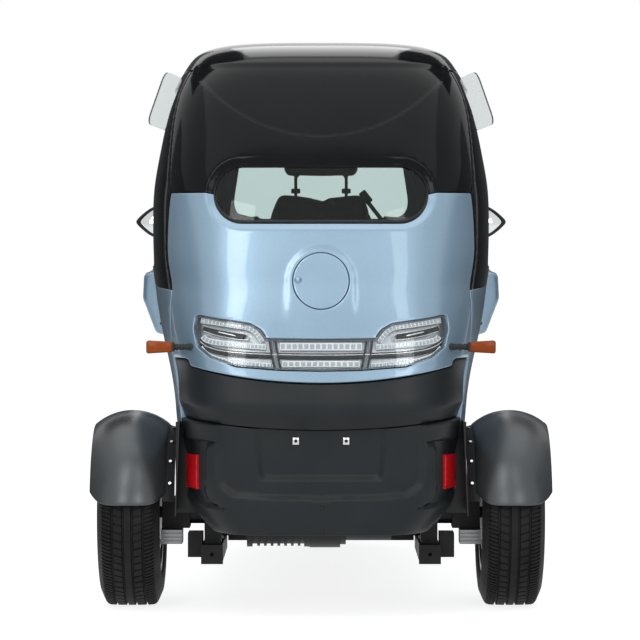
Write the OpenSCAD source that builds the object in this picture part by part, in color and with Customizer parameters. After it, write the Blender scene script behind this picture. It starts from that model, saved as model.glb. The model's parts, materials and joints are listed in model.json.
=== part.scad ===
// Enclosed electric tricycle: cabin on a ladder frame, two driven rear wheels, one steered front wheel.
// Millimetres, +Z up, forward is +Y, right is +X, ground at z = 0.

/* [Overall] */
// Distance between the front and rear axles
wheelbase = 1500; // [1440:10:1560]
// Rear axle behind the middle of the vehicle
rear_axle_back = 715; // [700:5:730]
// Distance between the rear wheel centres
rear_track = 1004; // [990:2:1030]
// Greatest width of the cabin
cabin_w = 928; // [900:4:960]
// Height of the roof
roof_h = 1525; // [1480:5:1580]
// Height of the belt line between the blue and the black panels
belt_h = 860; // [840:5:880]

/* [Cabin shell] */
// Thickness of the cabin panels
wall_t = 30; // [24:1:36]
// Thickness of the glass
glass_t = 5; // [4:1:8]
// How far the glass sits below the outer face
glass_inset = 8; // [5:1:14]
// Length position of the widest part of the cabin
widest_y = -100; // [-130:5:-80]
// Squareness of the nose corners
nose_power = 2.8; // [2.4:0.1:4]
// Height of the lower edge of the side panels
sill_h = 372; // [366:2:376]
// Height of the split between the black rear and the blue rear panel
rear_split_h = 1095; // [1080:5:1110]
// Roof split above the doors, below the roof
roof_split_drop = 93; // [86:1:104]
// Height of the split between nose and windscreen frame
cowl_h = 952; // [940:2:970]
// Top of the rear bumper on the centre line
bumper_top_h = 610; // [600:2:620]
// Split between bumper and valance
bumper_split_h = 486; // [470:2:500]
// Radius of the curve between the rear panel and the bumper
bumper_arc_r = 1400; // [1200:50:1800]
// Top of the front bumper
front_bumper_h = 420; // [400:5:450]
// Bottom of the front bumper
nose_bottom_h = 250; // [240:5:270]

/* [Doors] */
// Door front edge behind the front axle
door_front_back = 265; // [255:5:275]
// Door rear edge ahead of the rear axle
door_rear_ahead = 495; // [480:5:510]
// Gap round a door
door_gap = 7; // [6:0.5:9]
// Gap behind a door, where its edge swings back
door_rear_gap = 13; // [12:0.5:16]
// Radius of a hinge pin
hinge_pin_r = 5; // [4:0.5:6]
// Running clearance of pins and bearings
run_clear = 0.1; // [0.05:0.05:0.2]
// Length of a hinge knuckle
knuckle_len = 44; // [36:2:52]

/* [Wheels] */
// Outer radius of a rear tyre
rear_tyre_r = 247; // [240:1:250]
// Section width of a rear tyre
rear_tyre_w = 164; // [150:1:168]
// Bead radius of a rear rim
rear_rim_r = 152; // [140:1:158]
// Outer radius of the front tyre
front_tyre_r = 225; // [220:1:230]
// Section width of the front tyre
front_tyre_w = 105; // [100:1:110]
// Bead radius of the front rim
front_rim_r = 127; // [120:1:135]
// Gap between tyre bead and rim
bead_gap = 0.3; // [0.2:0.1:0.6]
// Radius of a rear stub axle
stub_r = 15; // [12:0.5:18]
// Radius of the front axle pin
front_pin_r = 10; // [8:0.5:12]
// Radius of the brake disc
disc_r = 100; // [90:1:105]

/* [Mudguards] */
// Width of a rear mudguard
guard_w = 200; // [190:1:206]
// Clearance of the rear mudguard above the tyre
guard_clear = 22; // [18:1:28]
// Thickness of a mudguard
guard_t = 4; // [3:0.5:6]
// Rise of the mudguard crown
guard_rise = 38; // [30:1:44]

/* [Steering] */
// Lean of the steering axis
caster = 24; // [22:0.5:26]
// Steering axis behind the front axle, at axle height
trail_back = 40; // [36:1:44]
// Radius of the steering stem
stem_r = 20; // [18:0.5:22]
// Height of the middle of the head tube
head_h = 620; // [600:5:640]
// Length of the head tube
head_l = 170; // [150:5:180]
// Distance of a fork leg from the centre line
leg_x = 86; // [82:1:92]
// Radius of a fork leg
leg_r = 17; // [15:0.5:19]
// Height of the handlebar clamp
bar_h = 985; // [970:5:1000]
// Half width over the grips
grip_x = 335; // [310:5:350]

/* [Chassis] */
// Size of the square chassis tube
rail_s = 50; // [45:1:55]
// Distance of a rail from the centre line
rail_x = 230; // [226:1:232]
// Underside of the cabin tub
tub_h = 200; // [196:2:210]
// Top of the tub floor
floor_h = 235; // [228:1:245]
// Top of the rear deck
deck_h = 400; // [390:2:410]
// Thickness of the deck and of the firewall
deck_t = 20; // [16:1:24]
// Distance of a trailing arm from the centre line
arm_x = 288; // [286:1:290]
// Width of a trailing arm
arm_w = 54; // [50:1:56]
// Height of a trailing arm
arm_h = 47; // [42:1:50]
// Radius of the axle tube
axle_tube_r = 30; // [26:1:34]

/* [Rear dress] */
// Half width of the rear window
rear_window_x = 279; // [270:1:286]
// Height of the middle of the rear window
rear_window_h = 1094; // [1088:1:1100]
// Half height of the rear window
rear_window_r = 75; // [70:1:80]
// Radius of the charge lid
lid_r = 71; // [66:1:76]
// Height of the middle of the charge lid
lid_h = 868; // [860:1:876]
// Gap round the charge lid
lid_gap = 5; // [5:0.5:7]
// Thickness of the charge lid
lid_t = 8; // [6:0.5:10]
// Spacing of the plate bolts
plate_pitch = 128; // [120:2:140]
// Radius of a plate bolt hole
plate_hole_r = 3.5; // [3:0.25:4]
// Radius of the charge socket
socket_r = 17; // [14:0.5:20]

/* [Seats] */
// Thickness of the driver cushion
cushion_t = 122; // [110:2:130]
// Length of the driver cushion
cushion_l = 430; // [400:5:440]
// Rear end of the driver cushion
seat_y = -90; // [-95:1:-80]
// Width of the driver seat
seat_w = 420; // [400:5:450]
// Top of the driver cushion
seat_h = 600; // [585:5:620]
// Top of the driver seat back
seat_back_h = 1117; // [1100:1:1130]
// Spacing of the headrest posts
post_pitch = 144; // [130:2:150]
// Width of the passenger bench
bench_w = 640; // [600:5:660]
// Thickness of the passenger cushion
bench_t = 130; // [115:5:140]
// Width of the battery
battery_w = 370; // [340:5:380]
// Length of the battery
battery_l = 360; // [330:5:380]

/* [Lamps and mirrors] */
// Top of the tail lamp on the centre line
lamp_h = 720; // [715:1:725]
// Depth of a lamp lens
lens_t = 24; // [18:1:28]
// Distance of a headlamp from the centre line
headlamp_x = 255; // [248:1:260]
// Height of a headlamp
headlamp_h = 742; // [735:1:750]
// Height of the rear indicators
stalk_h = 701; // [696:1:704]
// Root of an indicator stalk from the centre line
stalk_x = 318; // [318:1:322]
// Length of an indicator stalk
stalk_l = 66; // [62:1:74]
// Radius of an indicator stalk
stalk_r = 8; // [6:0.5:9]
// Height of a mirror
mirror_h = 1034; // [1028:1:1040]
// Radius of a mirror arm
mirror_arm_r = 9; // [7:0.5:10]

/* [Hidden] */
rear_y = -rear_axle_back;
front_y = rear_y + wheelbase;
half_track = rear_track / 2;
door_y0 = rear_y + door_rear_ahead;
door_y1 = front_y - door_front_back;
door_z0 = sill_h + door_gap;
door_z1 = roof_h - roof_split_drop - door_gap;
front_lean = 250 / (door_z1 - cowl_h);
rear_lean = 30 / (door_z1 - cowl_h);
hinge_x = cabin_w / 2 - 34;
hinge_y = door_y1 + door_gap / 2;
tail_y = rear_y - 245;
roof_split_h = roof_h - roof_split_drop;
far = 3000;
rail_top = tub_h;
rail_low = rail_top - rail_s;
upper_top = deck_h - deck_t;
kick_y = rear_y + 215;
tub_y = kick_y + rail_s;
frame_tail_y = rear_y - 325;
carrier_x0 = arm_x + 61;
carrier_x1 = half_track - 80;
carrier_s = 80;
carrier_z = rear_tyre_r + 1;
arm_z = rail_low - 7.5;
shock_y = rear_y + 115;
shock_perch_t = 20;
fire_y = front_y - 330;
post_x = 85;
post_s = 40;
head_block_w = 210;
rim_wall = 12;
tread_tuck = 15;
rim_tuck = 8;
flange_t = 5;
flange_rise = 8;
rear_web = [20, 38];
front_web = [-8, 8];
hub_in = -72;
disc_t = 5;
plate_y = rear_y - 371;
plate_t = 10;
plate_hole_h = bumper_split_h - 26;
port_wall = 9;
port_y = rear_y - 262;
port_floor_t = 7;
stalk_y = rear_y - 345;
wiper_x = 20;
wiper_h = cowl_h + 28;

// Body sections. Columns: share of the height, inset from half the cabin width,
// tail behind the rear axle, nose ahead of the front axle, squareness of the tail.
LOW_ROWS = [
    [0.000, 182, 367, 255, 6],
    [0.152, 92, 383, 310, 6],
    [0.303, 84, 395, 335, 6],
    [0.433, 78, 405, 349, 6],
    [0.545, 72, 420, 349, 6],
    [0.667, 59, 407, 339, 6],
    [0.788, 39, 393, 319, 5.6],
    [0.909, 22, 370, 285, 5.3],
    [1.000, 12, 347, 245, 5],
];
HIGH_ROWS = [
    [0.087, 4, 327, 195, 5],
    [0.217, 0, 291, 77, 5],
    [0.367, 1, 242, -17, 5],
    [0.505, 13, 187, -93, 5],
    [0.642, 29, 127, -167, 5],
    [0.779, 55, 55, -245, 5],
    [0.883, 88, -20, -321, 4.6],
    [0.947, 121, -115, -405, 4.2],
    [0.985, 184, -235, -523, 3.6],
    [1.000, 284, -385, -655, 3],
];
ROWS = concat(
    [for (r = LOW_ROWS) [
        tub_h + r[0] * (belt_h - tub_h), cabin_w / 2 - r[1], rear_y - r[2], front_y + r[3], r[4]]],
    [for (r = HIGH_ROWS) [
        belt_h + r[0] * (roof_h - belt_h), cabin_w / 2 - r[1], rear_y - r[2], front_y + r[3], r[4]]]
);

// Number of points on a quarter of a plan section
cap_n = 8;

// One quarter of a plan section: half width, start, length, power and number
function quarter(w, y, l, p, n) = [for (k = [0:n]) [
    w * pow(cos(90 * k / n), 2 / p), y + l * pow(sin(90 * k / n), 2 / p)]];
function flip(pts) = [for (k = [len(pts) - 1:-1:0]) [-pts[k][0], pts[k][1]]];
function inner_points(pts) = [for (k = [1:len(pts) - 2]) pts[k]];

// A plan section set in from the outer face
function plan(r, inset) =
    let (
        w = r[1] - inset,
        y0 = r[2] + inset,
        y1 = r[3] - inset,
        tail = quarter(w, widest_y, y0 - widest_y, r[4], cap_n),
        nose = quarter(w, widest_y, y1 - widest_y, nose_power, cap_n),
        right = concat([for (k = [len(tail) - 1:-1:1]) tail[k]], nose),
        left = inner_points(flip(right))
    ) concat(right, left);

// Half width of the outer face at a height
function form_half(z) = lookup(z, [for (r = ROWS) [r[0], r[1]]]);

function ring(i, inset) = [for (p = plan(ROWS[i], inset)) [p[0], p[1], ROWS[i][0] - inset]];
function order(n, start) = [for (k = [0:n - 1]) start + k];

module body_form(inset = 0) {
    for (i = [0:len(ROWS) - 2]) {
        low = ring(i, inset);
        high = ring(i + 1, inset);
        n = len(low);
        hull() {
            polyhedron(points = concat(low, high), faces = [order(n, 0), order(n, n)]);
        }
    }
}

module body_shell(outer = 0, inner = wall_t) {
    difference() {
        body_form(outer);
        body_form(inner);
        translate([-far, -far, -far + tub_h - inner]) cube([2 * far, 2 * far, far]);
    }
}

// Prism across the vehicle from an outline in length and height
module across(points, width = 2 * far, x = 0) {
    translate([x, 0, 0]) rotate([90, 0, 90]) linear_extrude(height = width, center = true) polygon(points);
}

// Block between two corners
module block(a, b) {
    translate(a) cube(b - a);
}

// Round bar between two points
module rod(p, q, r) {
    d = q - p;
    l = norm(d);
    translate(p) rotate([0, acos(d[2] / l), atan2(d[1], d[0])]) cylinder(r = r, h = l, $fn = 48);
}

// Round bar along the vehicle's width
module bar_x(x0, x1, r, y, z) {
    translate([x0, y, z]) rotate([0, 90, 0]) cylinder(r = r, h = x1 - x0, $fn = 64);
}

module both() {
    for (s = [0, 1]) {
        mirror([s, 0, 0]) children();
    }
}

// Outline with rounded corners
module soft(points, r) {
    offset(r = r, $fn = 32) offset(delta = -r) polygon(points);
}

// Prism along the vehicle from an outline in width and height, between two lengths
module along(y0, y1) {
    translate([0, y1, 0]) rotate([90, 0, 0]) linear_extrude(height = y1 - y0) children();
}

module low_zone(y0, y1, z0, z1) {
    block([-far, y0, z0], [far, y1, z1]);
}

// Everything behind the seam between the rear panels and the side panels
module tail_zone() {
    across([
        [-far, -far],
        [tail_y, -far],
        [tail_y, belt_h - 170],
        [rear_y - 153, rear_split_h],
        [rear_y + 115, roof_h - 85],
        [rear_y + 270, roof_h + 115],
        [-far, roof_h + 115]]);
}

// Door outline between two heights, grown by a gap in front and behind
module door_zone(front = 0, rear = 0, z0 = door_z0, z1 = door_z1) {
    across([
        [door_y1 + front, z0],
        [door_y1 + front, cowl_h],
        [door_y1 + front - front_lean * (z1 - cowl_h), z1],
        [door_y0 - rear + rear_lean * (z1 - cowl_h), z1],
        [door_y0 - rear, cowl_h],
        [door_y0 - rear, z0]]);
}

module rear_arc() {
    translate([0, rear_y, bumper_top_h + bumper_arc_r]) rotate([90, 0, 0])
        cylinder(r = bumper_arc_r, h = far, $fn = 240, center = true);
}

// Outlines seen from behind
module rear_window_shape(grow = 0) {
    r = rear_window_r + grow;
    for (s = [-1, 1]) {
        translate([s * (rear_window_x - rear_window_r), rear_window_h]) circle(r = r, $fn = 64);
    }
    translate([-rear_window_x + rear_window_r, rear_window_h - r])
        square([2 * (rear_window_x - rear_window_r), 2 * r]);
}

// Half of the tail lamp's outline. Columns: distance from the centre line, height above lamp_h
LAMP_HALF = [
    [0, 0], [138, 2], [152, 24], [180, 40], [262, 52], [319, 62],
    [324, 25], [314, -20], [280, -46], [215, -68], [104, -77], [0, -79]];

module lamp_shape() {
    translate([0, lamp_h]) polygon(concat(LAMP_HALF, inner_points(flip(LAMP_HALF))));
}

module lid_shape(r) {
    translate([0, lid_h]) circle(r = r, $fn = 72);
}

module plate_shape() {
    top = bumper_split_h - 8;
    low = top - 117;
    polygon([[-181, top], [181, top], [154, low], [-154, low]]);
}

module headlamp_shape() {
    both_2d() translate([headlamp_x, headlamp_h]) scale([1, 0.72]) rotate(-18) scale([1.25, 1])
        circle(r = 72, $fn = 48);
}

module both_2d() {
    for (s = [0, 1]) {
        mirror([s, 0]) children();
    }
}

module screen_shape() {
    low = cowl_h + 42;
    top = roof_split_h - 30;
    low_x = cabin_w / 2 - 134;
    top_x = cabin_w / 2 - 209;
    soft([[-low_x, low], [low_x, low], [top_x, top], [-top_x, top]], 45);
}

module door_window_shape() {
    soft([
        [door_y1 - 62, belt_h + 38],
        [door_y1 - 72, cowl_h + 20],
        [door_y1 - 290, door_z1 - 50],
        [door_y0 + 85, door_z1 - 50],
        [door_y0 + 60, belt_h + 30]], 35);
}

module quarter_shape() {
    soft([
        [door_y0 - 75, belt_h + 45],
        [door_y0 - 55, roof_split_h - 50],
        [rear_y + 105, roof_split_h - 50],
        [rear_y - 60, belt_h + 45]], 35);
}

module side_prism() {
    rotate([90, 0, 90]) linear_extrude(height = 2 * far, center = true) children();
}

// Heights of the door hinges
HINGES = [belt_h - 160, belt_h + 40];
leaf_w = 52;
leaf_l = 34;
leaf_lip = 4;
lug_t = 18;
knuckle_r = hinge_pin_r + 5;
strap_w = 30;
strap_l = 60;

module hinge_leaf(z, gap, len) {
    block([hinge_x - leaf_w, hinge_y + gap, z - len / 2],
        [hinge_x + leaf_lip, hinge_y + leaf_l, z + len / 2]);
}

module chassis_frame() {
    in_x = rail_x - rail_s / 2;
    out_x = rail_x + rail_s / 2;
    nose_y = fire_y - 5;
    pad_t = 6;
    color("#2b2d30") difference() {
        union() {
            both() {
                block([in_x, kick_y, rail_low], [out_x, nose_y, rail_top]);
                block([in_x, kick_y, rail_low], [out_x, tub_y, upper_top]);
                block([in_x, frame_tail_y, upper_top - rail_s], [out_x, tub_y, upper_top]);
                block([rail_x, shock_y - 40, upper_top - shock_perch_t],
                    [arm_x + 28, shock_y + 40, upper_top]);
                block([post_x - post_s / 2, nose_y - post_s, rail_low],
                    [post_x + post_s / 2, nose_y, head_h + 30]);
                block([rail_x - 45, -40, rail_low - pad_t], [rail_x + 45, 60, rail_low]);
            }
            block([-rail_x, frame_tail_y, upper_top - rail_s], [rail_x, frame_tail_y + rail_s, upper_top]);
            for (y = [kick_y, 95, nose_y - rail_s]) {
                block([-rail_x, y, rail_low], [rail_x, y + rail_s, rail_top]);
            }
            block([-head_block_w / 2, nose_y - post_s, head_h - 40],
                [head_block_w / 2, fire_y + 105, head_h + 30]);
            steer_frame() translate([0, 0, head_u() - head_l / 2])
                cylinder(r = stem_r + 11, h = head_l, $fn = 64);
        }
        steer_frame() cylinder(r = stem_r + run_clear, h = far, $fn = 64);
    }
}

function head_u() = (head_h - front_tyre_r) / cos(caster);
function bar_u() = (bar_h - front_tyre_r) / cos(caster);

// Local frame with z along the steering axis
module steer_frame() {
    translate([0, front_y - trail_back, front_tyre_r]) rotate([caster, 0, 0]) children();
}

module floor_pan() {
    wall_y = tub_y + deck_t;
    fit = 0.1;
    color("#232426") difference() {
        union() {
            difference() {
                intersection() {
                    body_form(0);
                    block([-far, tub_y, tub_h], [far, door_y1 + door_gap, sill_h]);
                }
                intersection() {
                    body_form(wall_t);
                    block([-far, wall_y, floor_h], [far, fire_y, far]);
                }
                intersection() {
                    body_form(wall_t);
                    block([-far, fire_y + deck_t, 0], [far, far, far]);
                }
            }
            intersection() {
                body_form(wall_t + 10);
                block([-far, fire_y, floor_h - 5], [far, fire_y + deck_t, belt_h - 120]);
            }
            intersection() {
                body_form(wall_t);
                union() {
                    block([-far, tub_y, floor_h - 5], [far, wall_y, deck_h]);
                    block([-far, -far, upper_top], [far, wall_y, deck_h]);
                }
            }
        }
        both() block([post_x - post_s / 2 - fit, fire_y - 5 - post_s - fit, 0],
            [post_x + post_s / 2 + fit, fire_y - 5 + fit, floor_h + 1]);
        block([-head_block_w / 2, fire_y - 1, head_h - 40],
            [head_block_w / 2, fire_y + deck_t + 1, head_h + 30]);
    }
}

module battery_pack() {
    y0 = seat_y + 20;
    color("#3a3d42") block([-battery_w / 2, y0, floor_h],
        [battery_w / 2, y0 + battery_l, seat_h - cushion_t]);
}

// Gear case and motor on the axle tube. Columns: start and end across the vehicle, radius
GEAR_CASE = [[-29, 51, 94], [51, 187, 75], [51, 66, 86]];
MOTOR = [[-197, -29, 84], [-45, -29, 92], [-197, -183, 92]];

module rear_axle() {
    nut_t = 12;
    end_x = half_track + rear_web[1] + 3 + nut_t;
    color("#26282b") {
        bar_x(-carrier_x0 - 1, carrier_x0 + 1, axle_tube_r, rear_y, rear_tyre_r);
        both() {
            block([carrier_x0, rear_y - carrier_s / 2, carrier_z - carrier_s / 2],
                [carrier_x1, rear_y + carrier_s / 2, carrier_z + carrier_s / 2]);
            bar_x(carrier_x1 - 5, end_x, stub_r, rear_y, rear_tyre_r);
            bar_x(end_x - nut_t, end_x, stub_r + 6, rear_y, rear_tyre_r);
        }
        for (g = GEAR_CASE) {
            bar_x(g[0], g[1], g[2], rear_y, rear_tyre_r);
        }
    }
}

module drive_motor() {
    fin_pitch = 18;
    fin_t = 7;
    fin_r = 90;
    color("#1f2124") difference() {
        union() {
            for (m = MOTOR) {
                bar_x(m[0], m[1], m[2], rear_y, rear_tyre_r);
            }
            for (x = [-170:fin_pitch:-62]) {
                bar_x(x, x + fin_t, fin_r, rear_y, rear_tyre_r);
            }
        }
        bar_x(-far, 0, axle_tube_r + run_clear, rear_y, rear_tyre_r);
    }
}

module trailing_arms() {
    in_x = arm_x - arm_w / 2;
    out_x = arm_x + arm_w / 2;
    tail = rear_y - 85;
    pivot_y = rear_y + 300;
    cap_t = 4;
    cap_rim = 2;
    color("#2b2d30") both() difference() {
        union() {
            block([in_x, tail, arm_z - arm_h / 2], [out_x, pivot_y + 35, arm_z + arm_h / 2]);
            block([in_x - cap_rim, tail - cap_t, arm_z - arm_h / 2 - cap_rim],
                [out_x + cap_rim, tail, arm_z + arm_h / 2 + cap_rim]);
            block([arm_x - 22, rear_y - 38, arm_z], [arm_x + 22, rear_y + 38, rear_tyre_r]);
            block([out_x, rear_y - 45, arm_z - 11.5], [carrier_x0 + 5, rear_y + 35, rear_tyre_r - 52]);
            bar_x(rail_x + rail_s / 2, out_x + 6, 16, pivot_y, arm_z + 28);
            block([arm_x - 20, pivot_y - 20, arm_z], [arm_x + 20, pivot_y + 20, arm_z + 44]);
        }
        bar_x(0, far, axle_tube_r + run_clear, rear_y, rear_tyre_r);
        translate([arm_x, tail - 15, arm_z]) rotate([-90, 0, 0]) cylinder(r = 5, h = 30, $fn = 24);
    }
}

module rear_shocks() {
    h = upper_top - shock_perch_t - arm_z - arm_h / 2;
    rod_r = 14;
    coil_r = 25;
    seat_t = 8;
    coil_t = 9;
    color("#8a8d92") both() translate([arm_x, shock_y, arm_z + arm_h / 2]) {
        cylinder(r = rod_r, h = h, $fn = 32);
        for (z = [0, h - seat_t]) {
            translate([0, 0, z]) cylinder(r = coil_r, h = seat_t, $fn = 32);
        }
        for (z = [20:19:h - 24]) {
            translate([0, 0, z]) cylinder(r = coil_r, h = coil_t, $fn = 32);
        }
    }
}

module brake_calipers() {
    x0 = carrier_x0 + 18;
    z1 = carrier_z - carrier_s / 2;
    body_h = 38;
    tail = rear_y - 86;
    fin_pitch = 10;
    fin_t = 5;
    color("#a9adb0") both() difference() {
        union() {
            block([x0, tail, z1 - body_h], [carrier_x1 + 26, rear_y - 10, z1]);
            for (k = [0:3]) {
                z = z1 - body_h + 3 + k * fin_pitch;
                block([x0, tail - 8, z], [carrier_x1 - 5, tail, z + fin_t]);
            }
        }
        bar_x(carrier_x1 + 1, carrier_x1 + 20, disc_r + 7, rear_y, rear_tyre_r);
    }
}

// Arched mudguard section: tyre radius, clearance, width
module guard_profile(r, w, t, rise) {
    arc_r = ((w / 2) * (w / 2) + rise * rise) / (2 * rise);
    difference() {
        intersection() {
            translate([r + t - arc_r, 0]) circle(r = arc_r, $fn = 128);
            translate([r + t - rise - 10, -w / 2]) square([rise + 30, w]);
        }
        translate([r + t - arc_r, 0]) circle(r = arc_r - t, $fn = 128);
    }
}

module rear_mudguards() {
    in_x = half_track - guard_w / 2;
    crown_r = rear_tyre_r + guard_clear;
    color("#53575a") both() {
        translate([half_track, rear_y, rear_tyre_r]) rotate([90, 0, 90]) rotate([0, 0, 32])
            rotate_extrude(angle = 139, $fn = 96) guard_profile(crown_r, guard_w, guard_t, guard_rise);
        block([in_x - 5, rear_y - 20, carrier_z + carrier_s / 2],
            [in_x + 2, rear_y + 20, rear_tyre_r + crown_r - guard_rise + guard_t]);
    }
}

module rear_panel() {
    color("#9fbcd4") difference() {
        intersection() {
            body_shell();
            tail_zone();
            rear_arc();
            low_zone(-far, far, 0, rear_split_h);
        }
        along(-far, 0) rear_window_shape();
        along(-far, 0) lid_shape(lid_r + lid_gap);
        along(-far, 0) lamp_shape();
        stalks();
    }
}

module roof_panel() {
    color("#1c1d20") difference() {
        intersection() {
            body_shell();
            union() {
                low_zone(-far, far, roof_split_h, far);
                intersection() {
                    tail_zone();
                    low_zone(-far, far, rear_split_h, roof_split_h + 1);
                }
            }
        }
        along(-far, 0) rear_window_shape();
    }
}

module side_panels() {
    color("#9fbcd4") difference() {
        intersection() {
            body_shell();
            low_zone(-far, door_y0 - door_rear_gap, sill_h, belt_h);
        }
        tail_zone();
    }
}

module quarter_frames() {
    color("#1c1d20") difference() {
        intersection() {
            body_shell();
            low_zone(-far, 0, belt_h, roof_split_h);
        }
        tail_zone();
        door_zone(far, door_rear_gap, 0, roof_h);
        side_prism() quarter_shape();
        vent_panes();
    }
}

module quarter_glass() {
    color("#30363a") intersection() {
        body_shell(glass_inset, glass_inset + glass_t);
        side_prism() quarter_shape();
    }
}

// Pop-out panes, hinged at their front edge and set open, leaning as the cabin side does
module vent_panes() {
    pane_l = 150;
    pane_h = 155;
    pane_drop = 152;
    pane_sink = 3;
    swing = 20;
    low = roof_split_h - pane_drop;
    lean = atan2(form_half(low) - form_half(low + pane_h), pane_h);
    color("#c8d4d6") both() translate([form_half(low) - pane_sink, door_y0 - 45, low])
        rotate([0, -lean, 0]) rotate([0, 0, swing]) translate([-glass_t / 2, -pane_l, 0])
            cube([glass_t, pane_l, pane_h]);
}

module nose_panel() {
    color("#9fbcd4") difference() {
        intersection() {
            body_shell();
            low_zone(door_y1 + door_gap, far, front_bumper_h, cowl_h);
        }
        along(0, far) headlamp_shape();
        wing_blades();
        both() {
            for (z = HINGES) {
                hinge_leaf(z, 0, knuckle_len + 2 * lug_t + 2);
            }
        }
    }
}

module front_bumper() {
    color("#34383c") intersection() {
        body_shell();
        low_zone(door_y1 + door_gap, far, nose_bottom_h, front_bumper_h);
    }
}

module front_frame() {
    color("#1c1d20") difference() {
        intersection() {
            body_shell();
            low_zone(0, far, cowl_h, roof_split_h);
        }
        door_zone(door_gap, far, 0, roof_h);
        along(0, far) screen_shape();
        mirror_arms();
    }
}

// Front wing blades and mirror heads. Columns: distance from the centre line, ahead of the front axle,
// height above the belt or the mirror, radius
WING_LOW = [
    [380, -205, -185, 18], [505, -190, -160, 14], [541, -185, -60, 16], [536, -180, 2, 18],
    [400, -20, -160, 18], [420, 40, -60, 18], [400, 20, -10, 18], [412, -205, 20, 18]];
WING_HIGH = [
    [425, -200, -10, 18], [508, -175, 20, 18], [500, -160, 70, 20], [425, -190, 65, 18], [405, -40, 10, 18]];
MIRROR_HEAD = [
    [568, -232, 0, 6], [505, -225, 34, 14], [505, -225, -34, 14],
    [455, -222, 18, 14], [455, -222, -22, 14], [500, -200, 0, 22]];

// Blend of balls from such a table, at a height
module blob(table, z, n) {
    hull() {
        for (p = table) {
            translate([p[0], front_y + p[1], z + p[2]]) sphere(r = p[3], $fn = n);
        }
    }
}

module wing_blades() {
    both() {
        blob(WING_LOW, belt_h, 12);
        blob(WING_HIGH, belt_h, 12);
    }
}

module front_wings() {
    color("#9fbcd4") difference() {
        wing_blades();
        body_form(8);
    }
}

module windscreen() {
    color("#b9cbd0") intersection() {
        body_shell(glass_inset, glass_inset + glass_t);
        along(0, far) screen_shape();
    }
}

module rear_window() {
    color("#b9cbd0") intersection() {
        body_shell(glass_inset, glass_inset + glass_t);
        along(-far, 0) rear_window_shape();
    }
}

module rear_bumper() {
    color("#34383c") difference() {
        intersection() {
            body_shell();
            tail_zone();
            low_zone(-far, far, bumper_split_h, belt_h);
        }
        rear_arc();
    }
}

module rear_valance() {
    color("#2a2d30") {
        difference() {
            intersection() {
                body_shell();
                tail_zone();
                low_zone(-far, far, tub_h + 20, bumper_split_h);
            }
            along(-far, 0) plate_shape();
        }
        both() intersection() {
            body_form(wall_t / 2);
            block([rail_x - rail_s / 2, -far, upper_top - rail_s],
                [rail_x + rail_s / 2, frame_tail_y, upper_top]);
        }
    }
}

module plate_panel() {
    color("#222427") difference() {
        along(plate_y - plate_t, plate_y) plate_shape();
        for (s = [-1, 1]) {
            translate([s * plate_pitch / 2, plate_y + plate_t, plate_hole_h]) rotate([90, 0, 0])
                cylinder(r = plate_hole_r, h = 3 * plate_t, $fn = 32);
        }
    }
}

module tail_lamps() {
    color("#d9dde0") intersection() {
        body_shell(0, lens_t);
        along(-far, 0) lamp_shape();
    }
}

module stalks() {
    both() stalk();
}

module stalk() {
    rod([stalk_x, stalk_y, stalk_h], [stalk_x + stalk_l, stalk_y, stalk_h], stalk_r);
}

module rear_indicators() {
    lens_x = stalk_x + stalk_l + 10;
    lens_l = 42;
    color("#c8660f") both() {
        difference() {
            stalk();
            body_form(10);
        }
        hull() {
            translate([lens_x, stalk_y, stalk_h]) scale([1, 1.2, 1]) sphere(r = 14, $fn = 16);
            translate([lens_x + lens_l, stalk_y, stalk_h]) scale([1, 1.2, 1]) sphere(r = 15, $fn = 16);
        }
    }
}

module rear_reflectors() {
    x0 = 316;
    w = 34;
    top = bumper_split_h - 64;
    h = 87;
    color("#b0161c") both() intersection() {
        body_shell(-7, 0);
        tail_zone();
        block([x0, -far, top - h], [x0 + w, rear_y - 260, top]);
    }
}

module headlamps() {
    color("#dfe4e6") intersection() {
        body_shell(0, lens_t);
        along(0, far) headlamp_shape();
    }
}

module mirror_arms() {
    both() mirror_arm();
}

module mirror_arm() {
    rod([368, front_y - 205, mirror_h - 22], [470, front_y - 225, mirror_h], mirror_arm_r);
}

module mirrors() {
    color("#1c1d20") both() {
        difference() {
            mirror_arm();
            body_form(10);
        }
        blob(MIRROR_HEAD, mirror_h, 14);
    }
}

// Soft block: half width, length range, height range, edge radius
module pad(w, y0, y1, z0, z1, r) {
    hull() {
        for (x = [-w + r, w - r], y = [y0 + r, y1 - r], z = [z0 + r, z1 - r]) {
            translate([x, y, z]) sphere(r = r, $fn = 20);
        }
    }
}

module driver_seat() {
    side_r = 34;
    top_r = 28;
    color("#26272a") {
        pad(seat_w / 2, seat_y, seat_y + cushion_l, seat_h - cushion_t, seat_h, 30);
        hull() {
            for (s = [-1, 1]) {
                translate([s * (seat_w / 2 - 35), seat_y + 5, seat_h - 40]) sphere(r = side_r, $fn = 20);
                translate([s * (seat_w / 2 - 35), seat_y - 45, seat_back_h - 170])
                    sphere(r = side_r, $fn = 20);
                translate([s * (seat_w / 2 - 100), seat_y - 75, seat_back_h - top_r])
                    sphere(r = top_r, $fn = 20);
            }
        }
    }
}

module driver_headrest() {
    pad_r = 28;
    post_r = 6;
    color("#26272a") {
        hull() {
            for (s = [-1, 1]) {
                translate([s * 82, seat_y - 78, seat_back_h + 63]) sphere(r = pad_r, $fn = 20);
                translate([s * 66, seat_y - 86, seat_back_h + 175]) sphere(r = pad_r, $fn = 20);
            }
        }
        for (s = [-1, 1]) {
            translate([s * post_pitch / 2, seat_y - 76, seat_back_h]) cylinder(r = post_r, h = 60, $fn = 24);
        }
    }
}

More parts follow.
